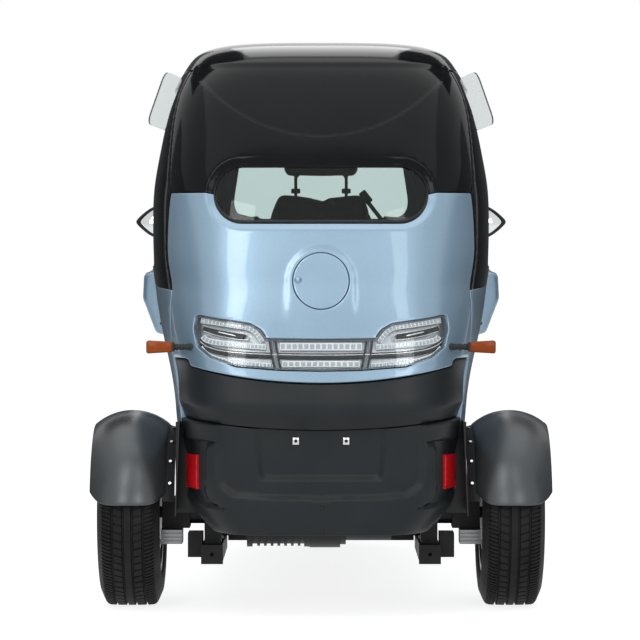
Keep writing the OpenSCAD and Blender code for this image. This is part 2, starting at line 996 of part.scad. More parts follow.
module passenger_bench() {
    back_r = 32;
    color("#26272a") {
        pad(bench_w / 2, rear_y - 150, rear_y + 230, deck_h, deck_h + bench_t, 30);
        hull() {
            for (s = [-1, 1]) {
                translate([s * (bench_w / 2 - back_r), rear_y - 155, deck_h + bench_t - 5])
                    sphere(r = back_r, $fn = 20);
                translate([s * (bench_w / 2 - 45), rear_y - 216, belt_h - 10]) sphere(r = back_r, $fn = 20);
            }
        }
    }
}

module dashboard() {
    y0 = door_y1 + 40;
    shelf_h = cowl_h - 22;
    color("#202225") intersection() {
        body_form(wall_t);
        union() {
            block([-far, y0, belt_h - 120], [far, y0 + 20, shelf_h]);
            block([-far, y0, shelf_h - 18], [far, far, shelf_h]);
            across([
                [y0 + 30, shelf_h - 10],
                [y0 + 30, shelf_h + 56],
                [y0 + 40, shelf_h + 66],
                [y0 + 80, shelf_h + 60],
                [y0 + 95, shelf_h - 10]], 190);
        }
    }
}

module wiper() {
    blade_t = 9;
    sweep = 76;
    color("#17181a") intersection() {
        body_shell(-blade_t, 0);
        along(0, far) translate([wiper_x, wiper_h]) {
            circle(r = 14, $fn = 24);
            rotate(sweep) translate([-6, 0]) square([12, 190]);
            rotate(sweep) translate([4, 60]) square([8, 300]);
        }
    }
}

module charge_port() {
    r = lid_r + lid_gap;
    color("#202225") difference() {
        intersection() {
            body_form(wall_t);
            along(-far, port_y + port_floor_t) lid_shape(r + port_wall);
        }
        along(-far, port_y) lid_shape(r);
    }
}

module charge_socket() {
    wall = 8;
    floor_t = 4;
    depth = 28;
    color("#3a3d42") translate([0, port_y, lid_h]) rotate([90, 0, 0]) difference() {
        cylinder(r = socket_r + wall, h = depth, $fn = 64);
        translate([0, 0, floor_t]) cylinder(r = socket_r, h = depth, $fn = 64);
    }
}

module charge_lid() {
    color("#9fbcd4") intersection() {
        body_shell(0, lid_t);
        along(-far, 0) lid_shape(lid_r);
    }
}

module door_hinges() {
    color("#2b2d30") both() {
        for (z = HINGES) {
            for (s = [-1, 1]) {
                zc = z + s * (knuckle_len / 2 + 1 + lug_t / 2);
                translate([hinge_x, hinge_y, zc - lug_t / 2]) cylinder(r = knuckle_r, h = lug_t, $fn = 32);
                hinge_leaf(zc, leaf_lip, lug_t);
            }
            translate([hinge_x, hinge_y, z - knuckle_len / 2 - lug_t + 3])
                cylinder(r = hinge_pin_r, h = knuckle_len + 2 * lug_t - 6, $fn = 32);
            hinge_leaf(z, leaf_l - lug_t, knuckle_len + 2 * lug_t - 6);
        }
    }
}

module knuckles() {
    color("#2b2d30") for (z = HINGES) {
        difference() {
            union() {
                translate([hinge_x, hinge_y, z - knuckle_len / 2])
                    cylinder(r = knuckle_r, h = knuckle_len, $fn = 32);
                block([hinge_x - strap_w, hinge_y - strap_l, z - knuckle_len / 2],
                    [hinge_x + leaf_lip, hinge_y - leaf_lip, z + knuckle_len / 2]);
            }
            translate([hinge_x, hinge_y, 0]) cylinder(r = hinge_pin_r + run_clear, h = far, $fn = 32);
        }
    }
}

module door_knuckles_right() {
    knuckles();
}

module door_knuckles_left() {
    mirror([1, 0, 0]) knuckles();
}

module door_half() {
    difference() {
        intersection() {
            body_shell();
            door_zone();
            right_side();
        }
        side_prism() door_window_shape();
        for (z = HINGES) {
            block([hinge_x - strap_w, hinge_y - strap_l, z - knuckle_len / 2],
                [far, far, z + knuckle_len / 2]);
        }
        handle_block(0, cabin_w / 2);
    }
}

module door_right() {
    color("#9fbcd4") door_half();
}

module door_left() {
    color("#9fbcd4") mirror([1, 0, 0]) door_half();
}

module door_glass_half() {
    intersection() {
        body_shell(glass_inset, glass_inset + glass_t);
        side_prism() door_window_shape();
        right_side();
    }
}

module door_glass_right() {
    color("#30363a") door_glass_half();
}

module door_glass_left() {
    color("#30363a") mirror([1, 0, 0]) door_glass_half();
}

// Handle of a door: margin within its pocket, outer end
module handle_block(margin, x1) {
    y0 = door_y0 + 45;
    z0 = belt_h - 78;
    block([cabin_w / 2 - 42, y0 + margin, z0 + 0.6 * margin],
        [x1, y0 + 120 - margin, z0 + 30 - 0.6 * margin]);
}

module right_side() {
    block([1, -far, 0], [far, far, far]);
}

module handle_half() {
    handle_block(0, cabin_w / 2 - 16);
    handle_block(10, cabin_w / 2 - 4);
}

module door_handle_right() {
    color("#1c1d20") handle_half();
}

module door_handle_left() {
    color("#1c1d20") mirror([1, 0, 0]) handle_half();
}

module fork() {
    color("#2b2d30") steer_frame() {
        off = trail_back * cos(caster);
        low = -trail_back * sin(caster);
        crown_t = 32;
        crown = head_u() - head_l / 2 - crown_t - 8;
        edge = leg_r + 6;
        translate([0, 0, crown]) cylinder(r = stem_r, h = bar_u() - crown, $fn = 64);
        block([-leg_x - edge, -stem_r - 8, crown], [leg_x + edge, off + edge, crown + crown_t]);
        for (s = [-1, 1]) {
            translate([s * leg_x, off, low - 22]) cylinder(r = leg_r, h = crown - low + 30, $fn = 48);
        }
        bar_x(-leg_x - 8, leg_x + 8, front_pin_r, off, low);
    }
}

module handlebar() {
    y = front_y - trail_back - (bar_h - front_tyre_r) * tan(caster);
    tube_r = 11;
    grip_r = 14;
    color("#202225") {
        steer_frame() translate([0, 0, bar_u()]) cylinder(r = stem_r + 8, h = 30, $fn = 48);
        for (s = [-1, 1]) {
            rod([0, y - 6, bar_h + 14], [s * 120, y - 6, bar_h + 14], tube_r);
            rod([s * 116, y - 6, bar_h + 13], [s * 196, y - 26, bar_h + 52], tube_r);
            rod([s * 192, y - 25, bar_h + 51], [s * grip_x, y - 70, bar_h + 40], grip_r);
        }
    }
}

module front_mudguard() {
    w = 2 * (leg_x - leg_r - 6);
    tab_s = 20;
    tab_h = 24;
    color("#2a2d30") {
        translate([0, front_y, front_tyre_r]) rotate([90, 0, 90]) rotate([0, 0, 45])
            rotate_extrude(angle = 115, $fn = 96) guard_profile(front_tyre_r + 20, w, guard_t, 22);
        both() steer_frame() translate([w / 2 - 4, trail_back * cos(caster) - tab_s / 2, front_tyre_r - 19])
            cube([leg_x - leg_r - w / 2 + 4, tab_s, tab_h]);
    }
}

// Tyre section: outer radius, width, bead radius, how far the tread stays inside the width
module tyre_ring(r, w, bead, narrow = 6) {
    b = (r - bead - 8) / 2;
    shoulder = 16;
    flat = w / 2 - shoulder - narrow;
    rotate([0, 90, 0]) rotate_extrude($fn = 72) {
        translate([bead, -flat - 4]) square([r - bead, 2 * flat + 8]);
        for (s = [-1, 1]) {
            translate([bead + b, s * (w / 2 - b)]) circle(r = b, $fn = 32);
            translate([r - shoulder, s * flat]) circle(r = shoulder, $fn = 32);
        }
    }
}

// Section of a rim's barrel, as radius and place along the axle: bead radius and tyre width
module rim_barrel(bead, w) {
    h = w / 2 - rim_tuck;
    translate([bead - rim_wall, -h]) square([rim_wall - bead_gap, 2 * h]);
    for (s = [-1, 1]) {
        translate([bead - rim_wall, s * (h - flange_t / 2) - flange_t / 2])
            square([rim_wall + flange_rise, flange_t]);
    }
}

// Ring of a section: outer radius and span along the axle, from a bore outwards
module band(bore, r, span) {
    translate([bore, span[0]]) square([r - bore, span[1] - span[0]]);
}

// Windows between the spokes of a web: number, spoke width, radii, span along the axle
module rim_windows(n, w, r0, r1, span) {
    side = w / 2 / cos(180 / n);
    low = r0 * tan(180 / n) - side;
    high = r1 * tan(180 / n) - side;
    for (k = [0:n - 1]) {
        rotate([(k + 0.5) * 360 / n, 0, 0]) translate([span[0] - 1, 0, 0]) rotate([90, 0, 90])
            linear_extrude(height = span[1] - span[0] + 2)
                polygon([[-low, r0], [low, r0], [high, r1], [-high, r1]]);
    }
}

module rear_rim(s) {
    bore = stub_r + run_clear;
    web_r = rear_rim_r - rim_wall + 1;
    translate([s * half_track, rear_y, rear_tyre_r]) mirror([s < 0 ? 1 : 0, 0, 0]) difference() {
        rotate([0, 90, 0]) rotate_extrude($fn = 96) {
            rim_barrel(rear_rim_r, rear_tyre_w);
            band(bore, web_r, rear_web);
            band(bore, stub_r + 17, [hub_in, rear_web[1] - 2]);
            band(bore, stub_r + 37, [rear_web[0] - 6, rear_web[1]]);
            band(bore, disc_r, [hub_in, hub_in + disc_t]);
        }
        rim_windows(7, 34, stub_r + 47, web_r - 15, rear_web);
    }
}

module rim_rear_right() {
    color("#b6babd") rear_rim(1);
}

module rim_rear_left() {
    color("#b6babd") rear_rim(-1);
}

module tyre_rear_right() {
    color("#1a1a1b") translate([half_track, rear_y, rear_tyre_r])
        tyre_ring(rear_tyre_r, rear_tyre_w, rear_rim_r, tread_tuck);
}

module tyre_rear_left() {
    color("#1a1a1b") translate([-half_track, rear_y, rear_tyre_r])
        tyre_ring(rear_tyre_r, rear_tyre_w, rear_rim_r, tread_tuck);
}

module rim_front() {
    bore = front_pin_r + run_clear;
    web_r = front_rim_r - rim_wall + 1;
    front_hub_w = 100;
    color("#b6babd") translate([0, front_y, front_tyre_r]) difference() {
        rotate([0, 90, 0]) rotate_extrude($fn = 96) {
            rim_barrel(front_rim_r, front_tyre_w);
            band(bore, web_r, front_web);
            band(bore, front_pin_r + 18, [-front_hub_w / 2, front_hub_w / 2]);
        }
        rim_windows(6, 28, front_pin_r + 30, web_r - 15, front_web);
    }
}

module tyre_front() {
    color("#1a1a1b") translate([0, front_y, front_tyre_r]) tyre_ring(front_tyre_r, front_tyre_w, front_rim_r);
}

chassis_frame();
floor_pan();
battery_pack();
rear_axle();
drive_motor();
trailing_arms();
rear_shocks();
brake_calipers();
rear_mudguards();
rear_panel();
roof_panel();
side_panels();
quarter_frames();
quarter_glass();
vent_panes();
nose_panel();
front_bumper();
front_frame();
front_wings();
windscreen();
rear_window();
rear_bumper();
rear_valance();
plate_panel();
tail_lamps();
rear_indicators();
rear_reflectors();
headlamps();
mirrors();
driver_seat();
driver_headrest();
passenger_bench();
dashboard();
wiper();
charge_port();
charge_socket();
door_hinges();
charge_lid();
door_knuckles_right();
door_knuckles_left();
door_right();
door_left();
door_glass_right();
door_glass_left();
door_handle_right();
door_handle_left();
fork();
handlebar();
front_mudguard();
tyre_front();
rim_front();
tyre_rear_right();
rim_rear_right();
tyre_rear_left();
rim_rear_left();
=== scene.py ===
"""Looks of an enclosed electric tricycle: painted skins, glass, lamps, wheels and seats on its frame."""
import json
import logging
import math
from dataclasses import dataclass
from enum import Enum
from typing import Callable, Optional, Sequence

import bmesh
import bpy
import numpy as np
from mathutils import Matrix, Vector


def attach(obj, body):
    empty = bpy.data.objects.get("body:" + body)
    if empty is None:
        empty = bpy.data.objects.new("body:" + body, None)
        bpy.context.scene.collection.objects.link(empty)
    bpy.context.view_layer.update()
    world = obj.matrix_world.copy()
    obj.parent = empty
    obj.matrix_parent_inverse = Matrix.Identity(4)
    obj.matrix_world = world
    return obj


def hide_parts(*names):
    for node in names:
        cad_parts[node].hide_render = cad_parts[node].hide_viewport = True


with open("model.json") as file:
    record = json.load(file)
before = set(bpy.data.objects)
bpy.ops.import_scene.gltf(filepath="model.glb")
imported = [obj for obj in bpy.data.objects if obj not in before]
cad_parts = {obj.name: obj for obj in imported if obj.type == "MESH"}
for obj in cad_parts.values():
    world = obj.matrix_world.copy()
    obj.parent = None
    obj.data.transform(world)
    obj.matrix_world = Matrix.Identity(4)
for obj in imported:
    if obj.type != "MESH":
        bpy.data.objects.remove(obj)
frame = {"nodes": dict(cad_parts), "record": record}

LOG = logging.getLogger("tricycle")
MM = 0.001
PAIR = (1, -1)
ROLL = 2.5
WALL = 2.5
CRISP = math.radians(48)
FAR = 3000.0
UNTOUCHED = 1e3
TAIL_SPAN = (-0.42, 0.42)
FRONT_SPAN = (0.55, 1.45)
DOOR_SPAN = (0.34, 0.75)
WHOLE_SPAN = (-1.0, 1.0)
Field = Callable[[np.ndarray], np.ndarray]
Mesh = bmesh.types.BMesh
Colour = tuple[float, float, float]


class View(Enum):
    """The way an outline looks at the vehicle."""

    REAR = 0
    FRONT = 1
    SIDE = 2


class Body(Enum):
    """The bodies that pieces ride on."""

    CHASSIS = "chassis"
    DOOR_RIGHT = "door_right"
    DOOR_LEFT = "door_left"
    LID = "charge_lid"
    STEERING = "steering"
    FRONT_WHEEL = "front_wheel"
    REAR_RIGHT = "rear_wheel_right"
    REAR_LEFT = "rear_wheel_left"


class Spline:
    """A natural cubic curve through evenly numbered rows of values."""

    def __init__(self, rows: np.ndarray) -> None:
        """Work out the bend at each row.

        Args:
            rows: one row of values for each whole parameter.
        """
        n = len(rows)
        system = np.eye(n)
        sides = np.zeros_like(rows)
        for i in range(1, n - 1):
            system[i, i - 1:i + 2] = (1, 4, 1)
        sides[1:-1] = 6 * (rows[2:] - 2 * rows[1:-1] + rows[:-2])
        self.rows = rows
        self.bend = np.linalg.solve(system, sides)

    def at(self, t: float) -> np.ndarray:
        """Values at a parameter.

        Args:
            t: the parameter, from 0 to the number of rows less one.

        Returns:
            One blended row.
        """
        i = int(min(max(t, 0), len(self.rows) - 2))
        f = t - i
        g = 1 - f
        flat = g * self.rows[i] + f * self.rows[i + 1]
        return flat + ((g ** 3 - g) * self.bend[i] + (f ** 3 - f) * self.bend[i + 1]) / 6


@dataclass
class BodyForm:
    """The cabin's outer form, as plan sections blended over their height, in millimetres."""

    # height, half width, tail, nose, squareness of the tail
    rows: tuple = (
        (200, 282, -1082, 1040, 6), (300, 372, -1098, 1095, 6), (400, 380, -1110, 1120, 6),
        (486, 386, -1120, 1134, 6), (560, 392, -1135, 1134, 6), (640, 405, -1122, 1124, 6),
        (720, 425, -1108, 1104, 5.6), (800, 442, -1085, 1070, 5.3), (860, 452, -1062, 1030, 5),
        (918, 460, -1042, 980, 5), (1004, 464, -1006, 862, 5), (1104, 463, -957, 768, 5),
        (1196, 451, -902, 692, 5), (1287, 435, -842, 618, 5), (1378, 409, -770, 540, 5),
        (1447, 376, -695, 464, 4.6), (1490, 343, -600, 380, 4.2), (1514, 280, -480, 262, 3.6),
        (1523, 180, -330, 130, 3), (1525, 4, -104, -96, 2.5),
    )
    widest: float = -100
    low: float = 205.0
    high: float = 1524.9
    crown: float = 1522.0
    middle_h: float = 800.0
    middle_row: int = 9
    nose_power: float = 2.8
    fine: int = 500
    levels: int = 600

    def __post_init__(self) -> None:
        """Measure the form once, for even grids."""
        self.curve = Spline(np.array(self.rows, float))
        self.t = np.linspace(0, len(self.rows) - 1, self.levels)
        self.table = np.array([self.curve.at(t) for t in self.t])
        steps = np.abs(np.diff(self.table[:, :4], axis=0))
        run = np.hypot(steps[:, 0], np.maximum(steps[:, 1], np.maximum(steps[:, 2], steps[:, 3]) * 0.8))
        self.run = np.concatenate([[0], np.cumsum(run)])

    def levels_between(self, z0: float, z1: float, pitch: float) -> np.ndarray:
        """Parameters of rows between two heights, evenly spread over the surface.

        Args:
            z0: lowest height.
            z1: highest height.
            pitch: wanted spacing.

        Returns:
            Row parameters from low to high.
        """
        heights = np.maximum.accumulate(self.table[:, 0])
        s0, s1 = np.interp([z0, z1], heights, self.run)
        count = max(2, int(math.ceil((s1 - s0) / pitch)))
        return np.interp(np.linspace(s0, s1, count + 1), self.run, self.t)

    def half(self, t: float, inset: float) -> tuple[np.ndarray, np.ndarray, np.ndarray]:
        """Half a plan section from the tail's centre to the nose's.

        Args:
            t: row parameter.
            inset: distance inside the outer face.

        Returns:
            Running share of the length, and the points' X and Y.
        """
        _, w, y0, y1, p = self.curve.at(t)
        w, y0, y1 = w - inset, y0 + inset, y1 - inset
        a = np.linspace(0, math.pi / 2, self.fine)
        s, c = np.sin(a), np.abs(np.cos(a))
        tail = (w * s ** (2 / p), self.widest + (y0 - self.widest) * c ** (2 / p))
        k = self.nose_power
        nose = (w * s ** (2 / k), self.widest + (y1 - self.widest) * c ** (2 / k))
        x = np.concatenate([tail[0], nose[0][::-1][1:]])
        y = np.concatenate([tail[1], nose[1][::-1][1:]])
        run = np.concatenate([[0], np.cumsum(np.hypot(np.diff(x), np.diff(y)))])
        return run / run[-1], x, y

    def section(self, t: float, q: np.ndarray, inset: float = 0) -> np.ndarray:
        """Points of a plan section.

        Args:
            t: row parameter.
            q: places round the section: 0 at the tail, 1 at the nose, below 0 or above 1 on the left.
            inset: distance inside the outer face.

        Returns:
            One point a place.
        """
        share, x, y = self.half(t, inset)
        near = np.where(q > 1, 2 - q, np.abs(q))
        side = np.where((q < 0) | (q > 1), -1.0, 1.0)
        z = self.curve.at(t)[0] - inset
        across, along = np.interp(near, share, x), np.interp(near, share, y)
        return np.stack([side * across, along, np.full(len(q), z)], axis=1)

    def surface_y(self, x: float, z: float, tail: bool = True, inset: float = 0) -> float:
        """Length position of the form at a width and height.

        Args:
            x: distance from the centre line.
            z: height.
            tail: True behind, False in front.
            inset: distance inside the outer face.

        Returns:
            The Y of the surface.
        """
        t = float(np.interp(z + inset, np.maximum.accumulate(self.table[:, 0]), self.t))
        _, xs, ys = self.half(t, inset)
        part = slice(0, self.fine) if tail else slice(self.fine, None)
        order = np.argsort(xs[part])
        return float(np.interp(abs(x), xs[part][order], ys[part][order]))


FORM = BodyForm()


@dataclass(frozen=True)
class Outline:
    """A closed outline in millimetres: (X, Z) seen from the rear or front, (Y, Z) from the side."""

    view: View
    points: tuple
    radius: float = 0.0
    straight: float = math.radians(86)
    share: float = 0.48
    steps: int = 9

    def ring(self) -> np.ndarray:
        """Round the corners.

        Returns:
            The closed outline, one row a point.
        """
        pts = np.array(self.points, float)
        if not self.radius:
            return pts
        out = []
        n = len(pts)
        for i in range(n):
            a, b, c = pts[i - 1], pts[i], pts[(i + 1) % n]
            u, v = (a - b), (c - b)
            lu, lv = np.linalg.norm(u), np.linalg.norm(v)
            u, v = u / lu, v / lv
            half = math.acos(float(np.clip(u @ v, -1, 1))) / 2
            if half > self.straight:
                out.append(b)
                continue
            cut = min(self.radius / math.tan(half), self.share * lu, self.share * lv)
            for f in np.linspace(0, 1, self.steps):
                p = (1 - f) ** 2 * (b + u * cut) + 2 * f * (1 - f) * b + f ** 2 * (b + v * cut)
                out.append(p)
        return np.array(out)

    def plane(self, co: np.ndarray) -> np.ndarray:
        """The two coordinates of points that this view sees."""
        return co[:, 1:] if self.view is View.SIDE else co[:, ::2]

    def distance(self, co: np.ndarray) -> np.ndarray:
        """Signed distance of points to the outline, positive inside.

        Args:
            co: points in millimetres.

        Returns:
            One distance a point.
        """
        p = self.plane(co)
        ring = self.ring()
        nxt = np.roll(ring, -1, axis=0)
        best = np.full(len(p), 1e9)
        inside = np.zeros(len(p), bool)
        for a, b in zip(ring, nxt):
            e = b - a
            f = np.clip(((p - a) @ e) / max(e @ e, 1e-9), 0, 1)
            best = np.minimum(best, np.linalg.norm(p - a - f[:, None] * e, axis=1))
            crosses = (a[1] > p[:, 1]) != (b[1] > p[:, 1])
            rise = np.where(abs(e[1]) < 1e-9, 1e-9, e[1])
            inside ^= crosses & (p[:, 0] < a[0] + (p[:, 1] - a[1]) / rise * e[0])
        return np.where(inside, best, -best)


def stadium(view: View, half_w: float, z: float, r: float) -> Outline:
    """A lying outline with round ends.

    Args:
        view: the side it is seen from.
        half_w: half of its width.
        z: height of its middle.
        r: radius of its ends.

    Returns:
        The outline.
    """
    points = []
    for sign in (1, -1):
        for k in range(25):
            a = math.radians(-90 + 180 * k / 24)
            points.append((sign * (half_w - r + r * math.cos(a)), z + sign * r * math.sin(a)))
    return Outline(view, tuple(points))


def disc(view: View, x: float, z: float, r: float, count: int = 64) -> Outline:
    """A round outline.

    Args:
        view: the side it is seen from.
        x: place of its middle across.
        z: height of its middle.
        r: radius.
        count: number of points.

    Returns:
        The outline.
    """
    turn = [2 * math.pi * k / count for k in range(count)]
    return Outline(view, tuple((x + r * math.cos(a), z + r * math.sin(a)) for a in turn))


def mirrored(points: Sequence[tuple]) -> tuple:
    """A half outline from the centre line out and back, with its mirror image added."""
    return tuple(points) + tuple((-x, z) for x, z in reversed(points) if abs(x) > 0.5)


def blend(d: np.ndarray, width: float) -> np.ndarray:
    """A smooth step from 0 to 1 over a width."""
    s = np.clip(d / width, 0, 1)
    return s * s * (3 - 2 * s)


@dataclass(frozen=True)
class Cut:
    """One trim of a skin: keep the inside or the outside of an outline, less a gap."""

    outline: Outline
    inside: bool = True
    gap: float = 0.0

    def value(self, co: np.ndarray) -> np.ndarray:
        """Distance from the trim, positive where the skin stays."""
        d = self.outline.distance(co)
        return (d if self.inside else -d) - self.gap


@dataclass(frozen=True)
class FieldCut:
    """A trim by a field of its own."""

    value: Field
    inside: bool = False


def opening(outline: Outline, lip: float = 0.0, flank: float = 250.0) -> FieldCut:
    """A hole through that wall of the cabin which an outline looks at, and no other.

    Args:
        outline: the hole.
        lip: how far the wall reaches into it.
        flank: distance from the centre line beyond which a wall is a side wall.

    Returns:
        The trim.
    """
    def value(co: np.ndarray) -> np.ndarray:
        """Distance from the hole, on its own wall."""
        near = {View.REAR: co[:, 1] < 0, View.FRONT: co[:, 1] > 0, View.SIDE: np.abs(co[:, 0]) > flank}
        return np.where(near[outline.view], -outline.distance(co) + lip, UNTOUCHED)

    return FieldCut(value)


@dataclass(frozen=True)
class Relief:
    """A raised or sunk zone of a skin, with break lines at its limits."""

    height: Field
    breaks: tuple = ()


def coordinates(bm: Mesh) -> np.ndarray:
    """All vertex places of a mesh as one array."""
    return np.array([v.co for v in bm.verts], float).reshape(-1, 3)


def score(bm: Mesh, value: Field, snap: float = 0.16) -> None:
    """Cut edges into a mesh along the zero line of a field.

    Args:
        bm: the mesh.
        value: the field.
        snap: share of an edge within which its end moves to the line.
    """
    if not bm.verts:
        return
    bm.verts.index_update()
    values = list(value(coordinates(bm)))
    moves: dict = {}
    for edge in bm.edges:
        a, b = edge.verts
        fa, fb = values[a.index], values[b.index]
        if fa * fb < 0:
            f = fa / (fa - fb)
            for vert, share in ((a, f), (b, 1 - f)):
                if share < snap and share < moves.get(vert, (1, None))[0]:
                    moves[vert] = (share, a.co.lerp(b.co, f))
    for vert, (_, place) in moves.items():
        vert.co = place
        values[vert.index] = 0.0
    on_line = list(moves)
    for edge in list(bm.edges):
        a, b = edge.verts
        fa, fb = values[a.index], values[b.index]
        if fa * fb < 0:
            _, vert = bmesh.utils.edge_split(edge, a, fa / (fa - fb))
            vert.index = len(values)
            values.append(0.0)
            on_line.append(vert)
    if on_line:
        bmesh.ops.connect_verts(bm, verts=on_line)


def trim(bm: Mesh, value: Field) -> None:
    """Remove what lies where a field is negative, with a clean edge along its zero line.

    Args:
        bm: the mesh.
        value: the field.
    """
    score(bm, value)
    if not bm.faces:
        return
    middles = np.array([f.calc_center_median() for f in bm.faces], float)
    keep = value(middles)
    gone = [f for f, v in zip(bm.faces, keep) if v < 0]
    bmesh.ops.delete(bm, geom=gone, context="FACES")


def roll_border(bm: Mesh, radius: float, depth: float, steps: int = 3) -> None:
    """Turn the open border of a skin inwards over a radius and down to a depth.

    Args:
        bm: the mesh, whose normals point out.
        radius: radius of the turned edge.
        depth: how far the edge reaches in from the face.
        steps: number of strips round the radius.
    """
    bm.normal_update()
    edges = [e for e in bm.edges if len(e.link_faces) == 1]
    out: dict = {}
    for edge in edges:
        face = edge.link_faces[0]
        way = (edge.verts[1].co - edge.verts[0].co).cross(face.normal)
        if way.dot(edge.verts[0].co - face.calc_center_median()) < 0:
            way.negate()
        for vert in edge.verts:
            out[vert] = out.get(vert, Vector()) + way
    base = {v: (v.co.copy(), w.normalized(), v.normal.copy()) for v, w in out.items()}
    ring = {v: v for v in base}
    turns = [math.pi / 2 * (k + 1) / steps for k in range(steps)]
    stops = [(radius * math.sin(a), radius * (1 - math.cos(a))) for a in turns]
    if depth > radius:
        stops.append((radius, depth))
    for reach, drop in stops:
        grown = bmesh.ops.extrude_edge_only(bm, edges=edges)["geom"]
        edges = [g for g in grown if isinstance(g, bmesh.types.BMEdge)]
        fresh = {g for g in grown if isinstance(g, bmesh.types.BMVert)}
        linked = {}
        for vert in fresh:
            source = next(e.other_vert(vert) for e in vert.link_edges if e.other_vert(vert) not in fresh)
            place, way, normal = base[ring[source]]
            vert.co = place + way * reach - normal * drop
            linked[vert] = ring[source]
        ring.update(linked)
        edges = [e for e in edges if all(v in fresh for v in e.verts)]


def finish_object(bm: Mesh, name: str, scale: float = MM,
                  smooth: bool = True) -> bpy.types.Object:
    """Make an object of a mesh in millimetres.

    Args:
        bm: the mesh, which is freed.
        name: the piece's name.
        scale: metres for each unit of the mesh.
        smooth: True for smooth shading.

    Returns:
        The object, at the origin.
    """
    bmesh.ops.scale(bm, vec=(scale,) * 3, verts=bm.verts)
    mesh = bpy.data.meshes.new(name)
    bm.to_mesh(mesh)
    bm.free()
    mesh.polygons.foreach_set("use_smooth", [smooth] * len(mesh.polygons))
    obj = bpy.data.objects.new(name, mesh)
    bpy.context.scene.collection.objects.link(obj)
    return obj


def add_bm(target: Mesh, source: Mesh) -> None:
    """Append one mesh to another and free it."""
    mesh = bpy.data.meshes.new("part")
    source.to_mesh(mesh)
    source.free()
    target.from_mesh(mesh)
    bpy.data.meshes.remove(mesh)


def face_away(bm: Mesh, middle: Vector) -> None:
    """Turn all faces of a mesh over if most of them look at a point."""
    bm.normal_update()
    if sum(f.normal.dot(f.calc_center_median() - middle) for f in bm.faces) < 0:
        bmesh.ops.reverse_faces(bm, faces=bm.faces)


def ball(r: float, flat: float, place: Sequence[float], count: int = 24) -> Mesh:
    """A ball flattened along the vehicle.

    Args:
        r: its radius.
        flat: share of the radius that is left along the vehicle.
        place: its middle.
        count: number of sides.

    Returns:
        The mesh.
    """
    bm = bmesh.new()
    bmesh.ops.create_uvsphere(bm, u_segments=count, v_segments=count // 2, radius=r)
    bmesh.ops.scale(bm, vec=(1, flat, 1), verts=bm.verts)
    bmesh.ops.translate(bm, vec=place, verts=bm.verts)
    return bm


def block(size: Sequence[float], edge: float, place: Sequence[float],
          turn: Optional[Matrix] = None) -> Mesh:
    """A block with rounded edges.

    Args:
        size: its three sizes in millimetres.
        edge: radius of its edges.
        place: its middle.
        turn: how it is turned, or None.

    Returns:
        The mesh.
    """
    bm = bmesh.new()
    bmesh.ops.create_cube(bm, size=1.0)
    bmesh.ops.scale(bm, vec=size, verts=bm.verts)
    if edge:
        bmesh.ops.bevel(bm, geom=list(bm.edges), offset=edge, affect="EDGES", segments=2, profile=0.5,
                        material=-1)
    if turn:
        bmesh.ops.transform(bm, matrix=turn.to_4x4(), verts=bm.verts)
    bmesh.ops.translate(bm, vec=place, verts=bm.verts)
    return bm


def round_bar(a: Sequence[float], b: Sequence[float], r: float, count: int = 24, edge: float = 0.0,
              end_r: Optional[float] = None) -> Mesh:
    """A round bar between two points.

    Args:
        a: first end.
        b: second end.
        r: radius.
        count: number of sides.
        edge: radius of the end edges.
        end_r: radius at the second end, if it differs.

    Returns:
        The mesh.
    """
    bm = bmesh.new()
    way = Vector(b) - Vector(a)
    bmesh.ops.create_cone(bm, cap_ends=True, segments=count, radius1=r, radius2=r if end_r is None else end_r,
                          depth=way.length)
    if edge:
        rims = [e for e in bm.edges if abs(e.verts[0].co.z - e.verts[1].co.z) < 1e-4]
        bmesh.ops.bevel(bm, geom=rims, offset=edge, affect="EDGES", segments=2, profile=0.5, material=-1)
    turn = way.to_track_quat("Z", "Y").to_matrix().to_4x4()
    bmesh.ops.transform(bm, matrix=Matrix.Translation((Vector(a) + Vector(b)) / 2) @ turn, verts=bm.verts)
    return bm


def resample(points: Sequence[tuple], pitch: float) -> np.ndarray:
    """A smooth even run of points through a few given ones.

    Args:
        points: the given points.
        pitch: wanted spacing.

    Returns:
        The even run.
    """
    rows = np.array(points, float)
    if len(rows) > 2:
        curve = Spline(rows)
        rows = np.array([curve.at(t) for t in np.linspace(0, len(rows) - 1, 24 * (len(rows) - 1) + 1)])
    run = np.concatenate([[0], np.cumsum(np.linalg.norm(np.diff(rows, axis=0), axis=1))])
    count = max(2, int(round(run[-1] / pitch)))
    even = np.linspace(0, run[-1], count + 1)
    return np.stack([np.interp(even, run, rows[:, k]) for k in range(rows.shape[1])], axis=1)


def loft(rings: Sequence[np.ndarray], closed: bool = True, caps: bool = True) -> Mesh:
    """A skin over a row of equal rings of points.

    Args:
        rings: the rings, each with as many points.
        closed: True if each ring closes on itself.
        caps: True to fill the two ends.

    Returns:
        The mesh.
    """
    bm = bmesh.new()
    rows, columns = len(rings) - 1, len(rings[0]) - (0 if closed else 1)
    bmesh.ops.create_grid(bm, x_segments=columns, y_segments=rows, size=1.0)
    for vert in bm.verts:
        i = round((vert.co.y + 1) / 2 * rows)
        j = round((vert.co.x + 1) / 2 * columns) % len(rings[0])
        vert.co = Vector(rings[i][j])
    if closed:
        bmesh.ops.remove_doubles(bm, verts=bm.verts, dist=1e-4)
    if caps:
        bmesh.ops.holes_fill(bm, edges=bm.edges, sides=0)
    bmesh.ops.recalc_face_normals(bm, faces=bm.faces)
    return bm


